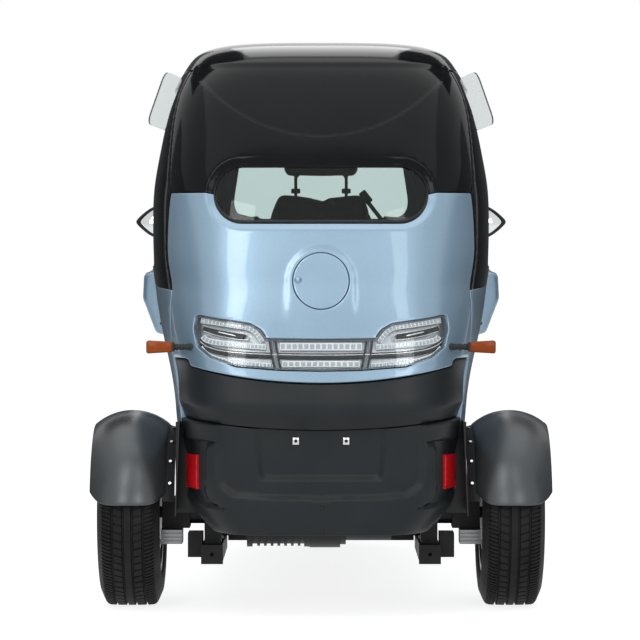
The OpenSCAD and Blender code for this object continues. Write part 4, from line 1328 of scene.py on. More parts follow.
@dataclass
class CabinSkin:
    """The painted panels of the cabin."""

    lip_w: float = 22.0
    lip_drop: float = 8.0
    arch_r: float = 95.0
    arch_rise: float = 2.4
    arch_slope: float = 16.0
    arch_low: float = 600.0
    fade_low: float = 752.0
    fade_h: float = 70.0
    field_drop: float = 3.0
    field_slope: float = 9.0
    field_front: float = -250.0
    lid_h: float = 868.0
    lid_r: float = 71.0
    lid_gap: float = 4.0
    lid_roll: float = 1.2
    knob_x: float = -59.0
    knob_r: float = 10.0
    nose_inset: float = 2.0
    lining_inset: float = 27.0
    lining_lip: float = 6.0

    def panel(self, name: str, paint: Finish, cuts: tuple, node: str = "", body: Body = Body.CHASSIS,
              thick: float = WALL, **form: object) -> None:
        """Lay a skin and show it.

        Args:
            name: the piece's name.
            paint: its finish.
            cuts: its trims.
            node: the node that it stands for, if any.
            body: the body that it rides on.
            thick: its wall.
            form: further values of the skin.
        """
        show(Skin(cuts, **form).build(), name, paint, (node,) if node else (), body, thick)

    def lip(self) -> Relief:
        """The dished band round the rear window, with break lines where its slope starts and ends."""
        window = SEAMS.rear_window()

        def height(co: np.ndarray) -> np.ndarray:
            """Depth of the dish."""
            return -self.lip_drop * (1 - blend(-window.distance(co), self.lip_w)) * (co[:, 1] < 0)

        return Relief(height, tuple(opening(window, -self.lip_w * share).value for share in (1, 0.8, 0.2)))

    def arch(self) -> Relief:
        """The raised field round the charge lid, fading out downwards."""
        top = disc(View.REAR, 0, self.lid_h, self.arch_r)
        leg = Outline(View.REAR, ((-self.arch_r, self.arch_low), (self.arch_r, self.arch_low),
                                  (self.arch_r, self.lid_h), (-self.arch_r, self.lid_h)))

        def reach(co: np.ndarray) -> np.ndarray:
            """Distance inside the field's border."""
            return np.maximum(top.distance(co), leg.distance(co))

        def height(co: np.ndarray) -> np.ndarray:
            """Rise of the field."""
            fade = blend(co[:, 2] - self.fade_low, self.fade_h)
            return self.arch_rise * blend(reach(co), self.arch_slope) * fade

        half = self.arch_slope / 2
        return Relief(height, (reach, lambda co: reach(co) - half, lambda co: reach(co) - self.arch_slope))

    def field(self) -> Relief:
        """The shallow sunk field of the black tail panel."""
        zone = SEAMS.roof_field()

        def inside(co: np.ndarray) -> np.ndarray:
            """Distance inside the field's border."""
            return np.where(co[:, 1] < self.field_front, zone.distance(co), -UNTOUCHED)

        return Relief(lambda co: -self.field_drop * blend(inside(co), self.field_slope),
                      (inside, lambda co: inside(co) - self.field_slope))

    def lid_edge(self) -> Outline:
        """The round edge of the charge lid."""
        return disc(View.REAR, 0, self.lid_h, self.lid_r)

    def rear_panel(self) -> None:
        """The blue panel between window and bumper."""
        cuts = (Cut(SEAMS.tail_zone(), gap=SEAMS.edge), Cut(SEAMS.rear_arc(), gap=SEAMS.edge),
                Cut(SEAMS.band(500, SEAMS.rear_split), gap=SEAMS.line_edge + 0.2),
                Cut(SEAMS.rear_window(), False, gap=ROLL), Cut(self.lid_edge(), False, gap=self.lid_gap),
                Cut(SEAMS.lamp(), False, gap=SEAMS.lens_gap + ROLL))
        self.panel("rear_panel_skin", Palette.blue, cuts, "rear_panel", pitch=8.0,
                   reliefs=(self.lip(), self.arch()), around=TAIL_SPAN)

    def lid(self) -> None:
        """The round lid over the charge socket, with its lock knob."""
        skin = Skin((Cut(self.lid_edge(), gap=self.lid_roll),), pitch=6.0, roll=self.lid_roll, depth=7,
                    reliefs=(self.arch(),))
        bm = skin.build()
        z = self.lid_h + 2
        y = FORM.surface_y(self.knob_x - 4, z) - self.arch_rise
        add_bm(bm, ball(self.knob_r, 0.7, (self.knob_x, y + 1.0, z)))
        show(bm, "charge_lid_skin", Palette.blue, ("charge_lid",), Body.LID, 2.0)

    def roof(self) -> None:
        """The black roof and the black panel above the rear window."""
        cuts = (Cut(SEAMS.roof_zone(), gap=SEAMS.edge * 0.7), opening(SEAMS.rear_window(), -ROLL))
        self.panel("roof_skin", Palette.black, cuts, "roof_panel", pitch=9.0,
                   reliefs=(self.lip(), self.field()), around=WHOLE_SPAN, heights=(1080, 1524.98))

    def sides(self) -> None:
        """Blue quarter panels and the black frames of the quarter windows."""
        edge, back = SEAMS.edge, SEAMS.door_back
        low = (Cut(SEAMS.band(SEAMS.sill, 920, -1150, back), gap=edge),
               Cut(SEAMS.tail_zone(), False, gap=edge),
               Cut(SEAMS.above_belt(), False, gap=SEAMS.line_edge), Cut(SEAMS.wheel_arch(), False, gap=ROLL))
        self.panel("side_panel_skins", Palette.blue, low, "side_panels", sides=PAIR, around=(0.1, 0.6))
        behind = Outline(View.SIDE, ((back, -FAR), (back, SEAMS.cowl), (-203, 1425), (-190, FAR), (-FAR, FAR),
                                     (-FAR, -FAR)))
        high = (Cut(SEAMS.band(820, SEAMS.roof_split, -1150, -150), gap=edge), Cut(behind, gap=edge),
                Cut(SEAMS.tail_zone(), False, gap=edge), Cut(SEAMS.above_belt(), gap=SEAMS.line_edge),
                Cut(SEAMS.quarter_window(), False, gap=ROLL))
        self.panel("quarter_frame_skins", Palette.black, high, "quarter_frames", sides=PAIR,
                   around=(0.08, 0.62))

    def front(self) -> None:
        """Nose, front bumper and the frame of the windscreen."""
        edge, door = SEAMS.edge, SEAMS.door_front
        lamps = tuple(Cut(o, False, gap=SEAMS.lens_gap + ROLL) for o in SEAMS.headlamp())
        nose = (Cut(SEAMS.band(SEAMS.front_bumper, SEAMS.cowl, door, FAR), gap=edge), *lamps)
        self.panel("nose_skin", Palette.blue, nose, "nose_panel", inset=self.nose_inset, around=FRONT_SPAN)
        bumper = (Cut(SEAMS.band(SEAMS.nose_low, SEAMS.front_bumper, door, FAR), gap=edge),)
        self.panel("front_bumper_skin", Palette.bumper, bumper, "front_bumper", around=FRONT_SPAN)
        ahead = Outline(View.SIDE, ((door, 900), (door, SEAMS.cowl), (273, SEAMS.roof_split), (100, 1760),
                                    (FAR, 1760), (FAR, 900)))
        pillars = (Cut(SEAMS.band(SEAMS.cowl, SEAMS.roof_split, 200, FAR), gap=edge), Cut(ahead, gap=edge),
                   Cut(SEAMS.screen(), False, gap=ROLL))
        self.panel("windscreen_frame_skin", Palette.black, pillars, "front_frame", around=(0.5, 1.5))

    def doors(self) -> None:
        """The two doors: blue below the belt, black round the window, with a dark lining."""
        zone, window, belt = SEAMS.door_zone(), SEAMS.door_window(), SEAMS.above_belt()
        edge = SEAMS.door_edge
        for side, body in zip(PAIR, (Body.DOOR_RIGHT, Body.DOOR_LEFT)):
            name = body.value
            low = (Cut(zone, gap=edge), Cut(belt, False, gap=SEAMS.line_edge))
            self.panel(name + "_skin", Palette.blue, low, name, body, sides=(side,), around=DOOR_SPAN)
            high = (Cut(zone, gap=edge), Cut(belt, gap=SEAMS.line_edge), Cut(window, False, gap=ROLL))
            self.panel(name + "_frame_skin", Palette.black, high, "", body, sides=(side,), around=DOOR_SPAN)
            inner = (Cut(zone, gap=edge + 8), Cut(window, False, gap=-self.lining_lip))
            self.panel(name + "_lining", Palette.lining, inner, "", body, 6, inset=22, roll=0, sides=(side,),
                       around=DOOR_SPAN, pitch=14)

    def lining(self) -> None:
        """The dark inside of the fixed panels, which also backs their gaps."""
        lip = self.lining_lip
        floor = FieldCut(lambda co: np.where(co[:, 1] < SEAMS.tail, co[:, 2] - 505, UNTOUCHED))
        holes = [opening(o, lip) for o in (SEAMS.rear_window(), SEAMS.screen(), SEAMS.quarter_window())]
        holes += [opening(disc(View.REAR, 0, self.lid_h, 85)), opening(SEAMS.lamp(), 8)]
        holes += [opening(o, lip) for o in SEAMS.headlamp()]
        cuts = (Cut(SEAMS.band(425, 1700)), floor, Cut(SEAMS.door_zone(), False, gap=-14), *holes)
        self.panel("cabin_lining", Palette.lining, cuts, thick=4, inset=self.lining_inset, roll=0, pitch=15,
                   around=WHOLE_SPAN, heights=(450, FORM.high))

    def build(self) -> None:
        """Make every panel."""
        self.rear_panel()
        self.lid()
        self.roof()
        self.sides()
        self.front()
        self.doors()
        self.lining()


@dataclass
class Glazing:
    """The window panes, set below the outer face, with black borders."""

    inset: float = 8.0
    thick: float = 4.0
    fit: float = 1.5
    pitch: float = 11.0
    seal_w: float = 5.0
    seal_thick: float = 1.1

    def pane(self, node: str, outline: Outline, finish: Finish, body: Body = Body.CHASSIS,
             sides: tuple = (1,)) -> None:
        """Make one pane with a black seal.

        Args:
            node: the node that it stands for, which also names it.
            outline: its outline.
            finish: the glass.
            body: the body that it rides on.
            sides: right and left.
        """
        pane = Skin((Cut(outline, gap=self.fit),), inset=self.inset, roll=0, pitch=self.pitch, sides=sides)
        show(pane.build(), node + "_pane", finish, (node,), body, self.thick)
        edge = (Cut(outline, gap=0.4), Cut(outline, False, gap=-self.seal_w))
        seal = Skin(edge, inset=self.inset - 1.2, roll=0, pitch=7, sides=sides)
        show(seal.build(), node + "_seal", Palette.seal, (), body, self.seal_thick)

    def border(self, name: str, finish: Finish, depth: float, thick: float) -> None:
        """Make a frame between the edge and the clear field of the windscreen.

        Args:
            name: the piece's name.
            finish: its finish.
            depth: distance below the pane's face.
            thick: its thickness.
        """
        cuts = (Cut(SEAMS.screen(), gap=2.5), Cut(SEAMS.screen_clear(), False))
        skin = Skin(cuts, inset=self.inset + depth, roll=0, pitch=self.pitch)
        show(skin.build(), name, finish, thick=thick)

    def build(self) -> None:
        """Make every pane."""
        self.pane("rear_window", SEAMS.rear_window(), Palette.glass)
        self.pane("windscreen", SEAMS.screen(), Palette.glass)
        self.border("windscreen_border", Palette.seal, 5, 0.6)
        self.border("windscreen_trim", Palette.pillar, 8, 2.0)
        self.pane("quarter_glass", SEAMS.quarter_window(), Palette.tint, sides=PAIR)
        self.pane("door_glass_right", SEAMS.door_window(), Palette.tint, Body.DOOR_RIGHT, (1,))
        self.pane("door_glass_left", SEAMS.door_window(), Palette.tint, Body.DOOR_LEFT, (-1,))


@dataclass
class RearBumper:
    """The grey bumper strip, the valance below it and what they carry."""

    side_gap: float = 4.0
    low_gap: float = 3.5
    crease_h: float = 528.0
    crease_bow: float = 27.0
    tuck: float = 12.0
    tuck_h: float = 42.0
    dish: float = 5.0
    recess: float = 12.0
    slope: float = 9.0
    plate: tuple = (((-184, 540), (184, 540), (157, 357), (-157, 357)),
                    ((-154, 540), (154, 540), (144, 372), (-144, 372)))
    scoop: tuple = (((0, 540), (262, 540), (272, 420), (262, 342), (222, 316), (0, 307)),
                    ((0, 540), (250, 540), (259, 423), (249, 352), (212, 328), (0, 319)))
    pocket: tuple = ((354, 466), (300, 466), (238, 455), (292, 445), (295, 330), (286, 308), (222, 282),
                     (300, 288), (338, 302), (354, 328))
    reflector: tuple = ((319, 335), (351, 335), (351, 421), (319, 421))
    clip_x: float = 64.0
    clip_z: float = 462.0
    bolt_x: float = 3.0
    bolt_z: tuple = (292, 230)

    def strip(self) -> None:
        """The upper strip, with a bowed crease and a face that tucks in below it."""
        def above(co: np.ndarray) -> np.ndarray:
            """Height above the crease."""
            return co[:, 2] - self.crease_h - self.crease_bow * (co[:, 0] / SEAMS.bow_reach) ** 2

        def height(co: np.ndarray) -> np.ndarray:
            """Depth of the tuck and of the dished face."""
            d = above(co)
            tuck = self.tuck * np.clip(-d / self.tuck_h, 0, 1.2)
            return -tuck - self.dish * blend(d, 70) * blend(140 - d, 60)

        cuts = (Cut(SEAMS.tail_zone(), gap=self.side_gap), Cut(SEAMS.rear_arc(), False, gap=self.side_gap),
                Cut(SEAMS.under_bumper(), False, gap=self.low_gap))
        skin = Skin(cuts, pitch=8, reliefs=(Relief(height, (above,)),), around=TAIL_SPAN, heights=(460, 720))
        show(skin.build(), "rear_bumper_skin", Palette.bumper, ("rear_bumper",), thick=WALL)

    def recesses(self) -> tuple:
        """The sunk zones of the valance, as rim and floor, or rim and None."""
        plate = tuple(Outline(View.REAR, points, radius=8) for points in self.plate)
        scoop = tuple(Outline(View.REAR, mirrored(points), radius=24) for points in self.scoop)
        pockets = [tuple((s * x, z) for x, z in self.pocket) for s in PAIR]
        return (plate, scoop, *((Outline(View.REAR, points, radius=9), None) for points in pockets))

    def valance(self) -> None:
        """The lower panel, with a plate recess, a scoop and pockets for the reflectors."""
        zones = self.recesses()

        def share(rim: Outline, floor: Optional[Outline], co: np.ndarray) -> np.ndarray:
            """How far points have sunk from a rim to its floor, from 0 to 1."""
            d = rim.distance(co)
            if floor is None:
                return blend(d, self.slope)
            gap = np.maximum(-floor.distance(co), 0)
            return np.where(d > 0, d / np.maximum(d + gap, 1e-6), 0)

        def height(co: np.ndarray) -> np.ndarray:
            """Depth of all the recesses."""
            return -sum(self.recess * share(rim, floor, co) for rim, floor in zones)

        lines = []
        for rim, floor in zones:
            lines.append(rim.distance)
            lines.append(floor.distance if floor else lambda co, o=rim: o.distance(co) - self.slope)
        skin = Skin((Cut(SEAMS.tail_zone(), gap=self.side_gap), Cut(SEAMS.band(222, 620)),
                     Cut(SEAMS.under_bumper(), gap=self.low_gap)), pitch=7, depth=16,
                    reliefs=(Relief(height, tuple(lines)),), around=TAIL_SPAN, heights=(212, 560))
        show(skin.build(), "rear_valance_skin", Palette.bumper, ("rear_valance",), thick=WALL)

    def plate_clips(self) -> None:
        """The plate's bright clip nuts with dark discs of painted shade for their holes, and the small bolts
        of the valance.
        """
        nuts, dark = bmesh.new(), bmesh.new()
        z = self.clip_z
        for x in (-self.clip_x, self.clip_x):
            add_bm(nuts, block((17, 8, 19), 1.5, (x, FORM.surface_y(x, z) + 22, z)))
        for low in self.bolt_z:
            y = FORM.surface_y(self.bolt_x, low) + 1
            add_bm(dark, round_bar((self.bolt_x, y, low), (self.bolt_x, y - 3, low), 5, 16))
        show(nuts, "plate_clips", Palette.steel, ("plate_panel",))
        # Dark discs on the clip nuts' faces: painted shade that stands for their holes.
        for x in (-self.clip_x, self.clip_x):
            y = FORM.surface_y(x, z) + 18
            add_bm(dark, round_bar((x, y, z), (x, y - 1, z), 4.2, 20))
        show(dark, "valance_bolts_and_painted_hole_shade", Palette.seal)

    def reflectors(self) -> None:
        """The red reflectors in their pockets, whose finish glows with a painted highlight."""
        bm = bmesh.new()
        for s in PAIR:
            shape = Outline(View.REAR, tuple((s * x, z) for x, z in self.reflector), radius=2)
            Skin((Cut(shape, gap=1.2),), inset=4, pitch=5, roll=1.2, depth=10, around=TAIL_SPAN).build(bm)
        show(bm, "rear_reflector_pair", Palette.red, ("rear_reflectors",), thick=1.5)

    def build(self) -> None:
        """Make the bumper."""
        self.strip()
        self.valance()
        self.plate_clips()
        self.reflectors()


@dataclass
class TailLamp:
    """The wide clear tail lamp: housing, light strips, dark bars, dividers and lens."""

    housing_in: float = 20.0
    rim_in: float = 6.0
    strip_in: float = 11.0
    lens_in: float = 1.0
    back_z: float = -5.0
    upper: tuple = ((306, 767), (262, 761), (215, 754), (182, 748), (163, 734), (148, 714))
    second: tuple = ((301, 727), (286, 716), (240, 709), (190, 704), (140, 701))
    slot: tuple = ((300, 748), (251, 735), (192, 725))
    slot_bar: tuple = ((262, 739), (216, 729))
    slot_rim: tuple = ((303, 755), (251, 743), (196, 734), (184, 727), (190, 719), (251, 727), (300, 741))
    bar: tuple = ((311, 713), (287, 697), (240, 686), (180, 681), (127, 679), (60, 677.5), (0, 677))
    bead: tuple = ((-1.6, -3), (1.6, -3), (1.4, 3), (0, 4.2), (-1.4, 3))
    lower: tuple = ((307, 699), (287, 680), (251, 667), (204, 660), (128, 654))
    middle: tuple = ((-104, 702), (0, 702), (104, 702))
    bottom: tuple = ((-98, 658), (0, 658), (98, 658))
    divider: tuple = ((124, 722), (117, 680), (109, 640))
    divider_edge: float = 8.5

    def rows(self) -> tuple:
        """The light strips: path, width, pitch of the cells and size of a cell."""
        small = 9.5
        wide = 15
        return ((self.upper, 13, small, (6.4, 3, 8)), (self.second, 14, small, (6.4, 3, 8.5)),
                (self.lower, 13, small, (6.4, 3, 8)), (self.middle, 20, wide, (10, 3, 12)),
                (self.bottom, 16, wide, (10, 3, 10)))

    def surface(self, x: float, z: float, inset: float, angle: float) -> Matrix:
        """A frame on the tail: X along a line at an angle, Y inwards, Z across the line.

        Args:
            x: place across.
            z: height.
            inset: distance inside the outer face.
            angle: angle of the line, in radians.

        Returns:
            The frame as a matrix.
        """
        def depth(dx: float, dz: float) -> float:
            """Length position of the form near the point."""
            return FORM.surface_y(x + dx, z + dz, True, inset)

        right = Vector((2, depth(1, 0) - depth(-1, 0), 0))
        up = Vector((0, depth(0, 1) - depth(0, -1), 2))
        along = right.normalized() * math.cos(angle) + up.normalized() * math.sin(angle)
        inwards = right.cross(up).normalized()
        if inwards.y < 0:
            inwards.negate()
        across = along.cross(inwards).normalized() * -1
        turn = Matrix((along.normalized(), inwards, across)).transposed().to_4x4()
        return Matrix.Translation((x, depth(0, 0), z)) @ turn

    def cells(self, bm: Mesh, path: tuple, pitch: float, size: tuple) -> None:
        """A row of small square light cells along a path, on both sides.

        Args:
            bm: the mesh to add to.
            path: the row's path.
            pitch: spacing of the cells.
            size: length, depth and height of a cell.
        """
        line = resample(path, pitch)
        line = (line[1:] + line[:-1]) / 2
        slope = np.gradient(line, axis=0)
        for side in (PAIR if line[:, 0].min() > 1 else (1,)):
            for p, a in zip(line, slope):
                cell = block(size, min(size) * 0.3, (0, 0, 0))
                angle = math.atan2(a[1], a[0] * side)
                place = self.surface(side * p[0], p[1], self.strip_in - size[1], angle)
                bmesh.ops.transform(cell, matrix=place, verts=cell.verts)
                add_bm(bm, cell)

    def back(self) -> None:
        """The silver housing behind everything, with a wall up to the lens."""
        floor = Skin((Cut(SEAMS.lamp(), gap=3.2),), inset=self.housing_in, pitch=8, roll=0)
        show(floor.build(), "lamp_housing", Palette.silver, thick=2)
        edge = (Cut(SEAMS.lamp(), gap=0.6), Cut(SEAMS.lamp(), False, gap=-5.0))
        rim = Skin(edge, inset=self.rim_in, pitch=6, roll=0)
        show(rim.build(), "lamp_rim", Palette.rim, thick=self.housing_in - self.rim_in)

    def strips(self) -> None:
        """White strips and their rows of cells."""
        bands, cups = bmesh.new(), bmesh.new()
        for path, width, pitch, size in self.rows():
            Ribbon(path, flat_band(width, -4, 3), self.strip_in).build(bands)
            self.cells(cups, path, pitch, size)
        show(bands, "lamp_strips", Palette.led, smooth=False)
        show(cups, "lamp_cells", Palette.cell, smooth=False)

    def bars(self) -> None:
        """Dark slot, grooved bars and slanted dividers."""
        full = tuple((-x, z) for x, z in self.bar[:-1]) + tuple(reversed(self.bar))
        dark, grey, bright = bmesh.new(), bmesh.new(), bmesh.new()
        Ribbon(self.slot, flat_band(14, self.back_z, 1), self.strip_in).build(dark)
        Ribbon(full, flat_band(15.0, self.back_z, 2), self.strip_in).build(dark)
        for shift in (-self.divider_edge, self.divider_edge):
            line = tuple((x + shift, z) for x, z in self.divider)
            Ribbon(line, flat_band(3.4, self.back_z, 6), self.strip_in).build(dark)
        show(dark, "lamp_dark_bars", Palette.chrome)
        Ribbon(self.divider, flat_band(13, self.back_z, 3), self.strip_in).build(grey)
        show(grey, "lamp_dividers", Palette.rim)
        Ribbon(tuple((x, z + 3.5) for x, z in full), self.bead, self.strip_in).build(bright)
        Ribbon(self.slot_bar, flat_band(3.5, 0, 3), self.strip_in).build(bright)
        Ribbon(self.slot_rim, flat_band(2.2, -4, 3.4), self.strip_in, 3).build(bright)
        show(bright, "lamp_bright_bars", Palette.steel)

    def lens(self) -> None:
        """The clear outer lens."""
        skin = Skin((Cut(SEAMS.lamp(), gap=1.2),), inset=self.lens_in, pitch=7, roll=0)
        show(skin.build(), "tail_lamp_lens", Palette.lens, ("tail_lamps",), thick=2.0)

    def build(self) -> None:
        """Make the lamp."""
        self.back()
        self.strips()
        self.bars()
        self.lens()


@dataclass
class Headlamps:
    """The inside of the headlamps: bowl, bezel, two projectors and a row of light cells."""

    bowl_in: float = 40.0
    rim_in: float = 9.0
    rim_w: float = 7.0
    rim_depth: float = 30.0
    lights: tuple = ((270.0, 738.0, 25.0), (214.0, 752.0, 17.0))
    cells: int = 13
    cell_size: tuple = (7, 9, 7)
    row_half: tuple = (72, 55)
    row_start: float = 196.0
    row_sweep: float = 138.0

    def front(self, x: float, z: float, inset: float) -> float:
        """Length position behind the lens."""
        return FORM.surface_y(abs(x), z, False, inset)

    def projector(self, ring: Mesh, eye: Mesh, x: float, z: float, r: float) -> None:
        """A round light with a bright collar.

        Args:
            ring: mesh of the collars.
            eye: mesh of the round lenses.
            x: place across.
            z: height.
            r: radius.
        """
        y = self.front(x, z, self.bowl_in)
        add_bm(ring, round_bar((x, y - 12, z), (x, y + 10, z), r, 48, 3))
        add_bm(eye, ball(r * 0.8, 0.55, (x, y + 9, z), 32))

    def row(self, bm: Mesh, sign: int) -> None:
        """The curved row of light cells below the projectors of one lamp.

        Args:
            bm: the mesh to add to.
            sign: 1 for the right lamp, -1 for the left.
        """
        half_w, half_h = self.row_half
        for k in range(self.cells):
            a = math.radians(self.row_start + self.row_sweep * k / (self.cells - 1))
            x, z = SEAMS.head_point(sign, half_w * math.cos(a), half_h * math.sin(a))
            add_bm(bm, block(self.cell_size, 1.5, (x, self.front(x, z, self.bowl_in - 8), z)))

    def build(self) -> None:
        """Make both insides."""
        bowl, rim, ring, eye, row = (bmesh.new() for _ in range(5))
        for sign, outline in zip(PAIR, SEAMS.headlamp()):
            Skin((Cut(outline, gap=3),), inset=self.bowl_in, pitch=8, roll=0).build(bowl)
            edge = (Cut(outline, gap=0.8), Cut(outline, False, gap=-self.rim_w))
            Skin(edge, inset=self.rim_in, pitch=7, roll=0).build(rim)
            for x, z, r in self.lights:
                self.projector(ring, eye, sign * x, z, r)
            self.row(row, sign)
        show(bowl, "headlamp_bowls", Palette.silver, thick=2)
        show(rim, "headlamp_bezels", Palette.chrome, thick=self.rim_depth)
        show(ring, "headlamp_collars", Palette.steel)
        show(eye, "headlamp_eyes", Palette.cell)
        show(row, "headlamp_cells", Palette.led)


@dataclass
class Indicators:
    """Amber side lamps on ribbed black stalks."""

    x: float = 412.0
    y: float = -1060.0
    z: float = 700.0
    size: tuple = (66.0, 36.0, 33.0)
    taper: float = 0.28
    stalk_r: float = 7.0
    stalk_x: float = 330.0
    ribs: int = 7
    rib_w: float = 7.0
    rib_rise: float = 1.2
    foot: tuple = (318, 334)
    cap_x: float = 378.0

    def lens(self, side: int) -> Mesh:
        """One amber lens, narrower towards the vehicle."""
        shape = block(self.size, 5, (0, 0, 0))
        for vert in shape.verts:
            inner = (vert.co.x < 0) * self.taper
            vert.co.z *= 1 - inner * 0.7
            vert.co.y *= 1 - inner
        bmesh.ops.scale(shape, vec=(side, 1, 1), verts=shape.verts)
        if side < 0:
            bmesh.ops.reverse_faces(shape, faces=shape.faces)
        bmesh.ops.translate(shape, vec=(side * self.x, self.y, self.z), verts=shape.verts)
        return shape

    def build(self) -> None:
        """Make both lamps."""
        lens, stalk = bmesh.new(), bmesh.new()
        y, z = self.y + 4, self.z
        for s in PAIR:
            add_bm(lens, self.lens(s))
            for k in range(self.ribs):
                x = self.stalk_x + self.rib_w * k
                r = self.stalk_r + (self.rib_rise if k % 2 else 0)
                add_bm(stalk, round_bar((s * x, y, z), (s * (x + self.rib_w + 0.2), y, z), r, 24, 0.6))
            inner, outer = self.foot
            add_bm(stalk, round_bar((s * inner, y, z), (s * outer, y, z), self.stalk_r + 3, 24, 1))
            add_bm(stalk, block((8, 22, 24), 2, (s * self.cap_x, self.y + 2, z)))
        show(lens, "indicator_lenses", Palette.amber, ("rear_indicators",))
        show(stalk, "indicator_stalks", Palette.trim)


@dataclass
class Mudguards:
    """Arched rear guards with turned edges, inner flanges and bolts."""

    x: float = 502.0
    y: float = -715.0
    z: float = 247.0
    width: float = 200.0
    crown: float = 273.0
    rise: float = 38.0
    start: float = 32.0
    end: float = 171.0
    corner: float = 9.0
    rows: int = 60
    columns: int = 32
    flange_start: float = 62.0
    flange_sweep: float = 106.0
    flange_steps: int = 48
    bolt_turns: tuple = (100, 122, 140, 156)
    liner_top: tuple = ((-1010, 505), (-900, 505), (-700, 505), (-520, 500))
    liner_low: tuple = ((-1000, 262), (-880, 285), (-700, 306), (-520, 330))
    liner_x: tuple = (366, 377)
    plate_at: tuple = (340, -938, 384)

    def radius(self, u: float) -> float:
        """Radius of the arch at a place across it."""
        h = self.width / 2
        arc = (h * h + self.rise ** 2) / (2 * self.rise)
        return self.crown - arc + math.sqrt(max(arc * arc - u * u, 0))

    def point(self, x: float, r: float, turn: float) -> tuple[float, float, float]:
        """A point at a distance and an angle from the wheel's axis."""
        return (x, self.y + r * math.cos(turn), self.z + r * math.sin(turn))

    def open_loft(self, rings: Sequence[np.ndarray], side: int) -> Mesh:
        """A skin over open rings that faces away from the wheel."""
        bm = loft(rings, closed=False, caps=False)
        face_away(bm, Vector((side * self.x, self.y, self.z)))
        return bm

    def guard(self, side: int) -> Mesh:
        """One guard: a grid over width and angle, with rounded ends.

        Args:
            side: 1 for the right, -1 for the left.

        Returns:
            The mesh.
        """
        rings = []
        h = self.width / 2 - 2
        for k in range(self.rows + 1):
            ring = []
            for j in range(self.columns + 1):
                u = -h + 2 * h * j / self.columns
                off = self.corner * abs(u / h) ** 5
                turn = math.radians(self.start + off + (self.end - self.start - 2 * off) * k / self.rows)
                ring.append(self.point(side * self.x + u, self.radius(u), turn))
            rings.append(np.array(ring))
        bm = self.open_loft(rings, side)
        roll_border(bm, 2.0, 7.0)
        return bm

    def flange(self, side: int) -> Mesh:
        """The dark inner flange beside a guard, as a band under its inner edge.

        Args:
            side: 1 for the right, -1 for the left.

        Returns:
            The mesh.
        """
        edge, low = self.x - self.width / 2, self.crown - self.rise
        steps = self.flange_steps
        turns = [math.radians(self.flange_start + self.flange_sweep * k / steps) for k in range(steps + 1)]
        rows = ((edge + 9, low + 1), (edge, low - 2), (edge - 22, low - 9))
        return self.open_loft([np.array([self.point(side * x, r, a) for a in turns]) for x, r in rows], side)

    def liner(self, side: int) -> Mesh:
        """The black panel between the body and a wheel, open round the axle."""
        rows = zip(self.liner_x, (self.liner_top, self.liner_low))
        rings = [np.array([(side * x, y, z) for y, z in row]) for x, row in rows]
        return loft(rings, closed=False, caps=False)

    def build(self) -> None:
        """Make both guards with their stays."""
        skins, stays, bolts, flanges = (bmesh.new() for _ in range(4))
        edge = self.x - self.width / 2
        x, y, z = self.plate_at
        for s in PAIR:
            add_bm(skins, self.guard(s))
            for turn in self.bolt_turns:
                out = Vector((0, math.cos(math.radians(turn)), math.sin(math.radians(turn))))
                at = Vector((s * (edge - 9), self.y, self.z)) + out * (self.crown - self.rise - 7)
                add_bm(bolts, round_bar(at, at + out * 5, 4.2, 6))
                add_bm(stays, round_bar(at, at + out * 2, 7.5, 20))
            add_bm(stays, block((74, 4, 236), 1, (s * x, y, z)))
            add_bm(stays, block((7, 40, 178), 1.5, (s * (edge - 1.5), self.y, 377)))
            add_bm(flanges, self.flange(s))
            add_bm(flanges, self.liner(s))
        show(skins, "rear_guard_skins", Palette.guard, ("rear_mudguards",), thick=WALL)
        show(stays, "guard_stays", Palette.frame)
        show(flanges, "guard_flanges", Palette.trim, thick=3, smooth=False)
        show(bolts, "guard_bolts", Palette.steel, smooth=False)


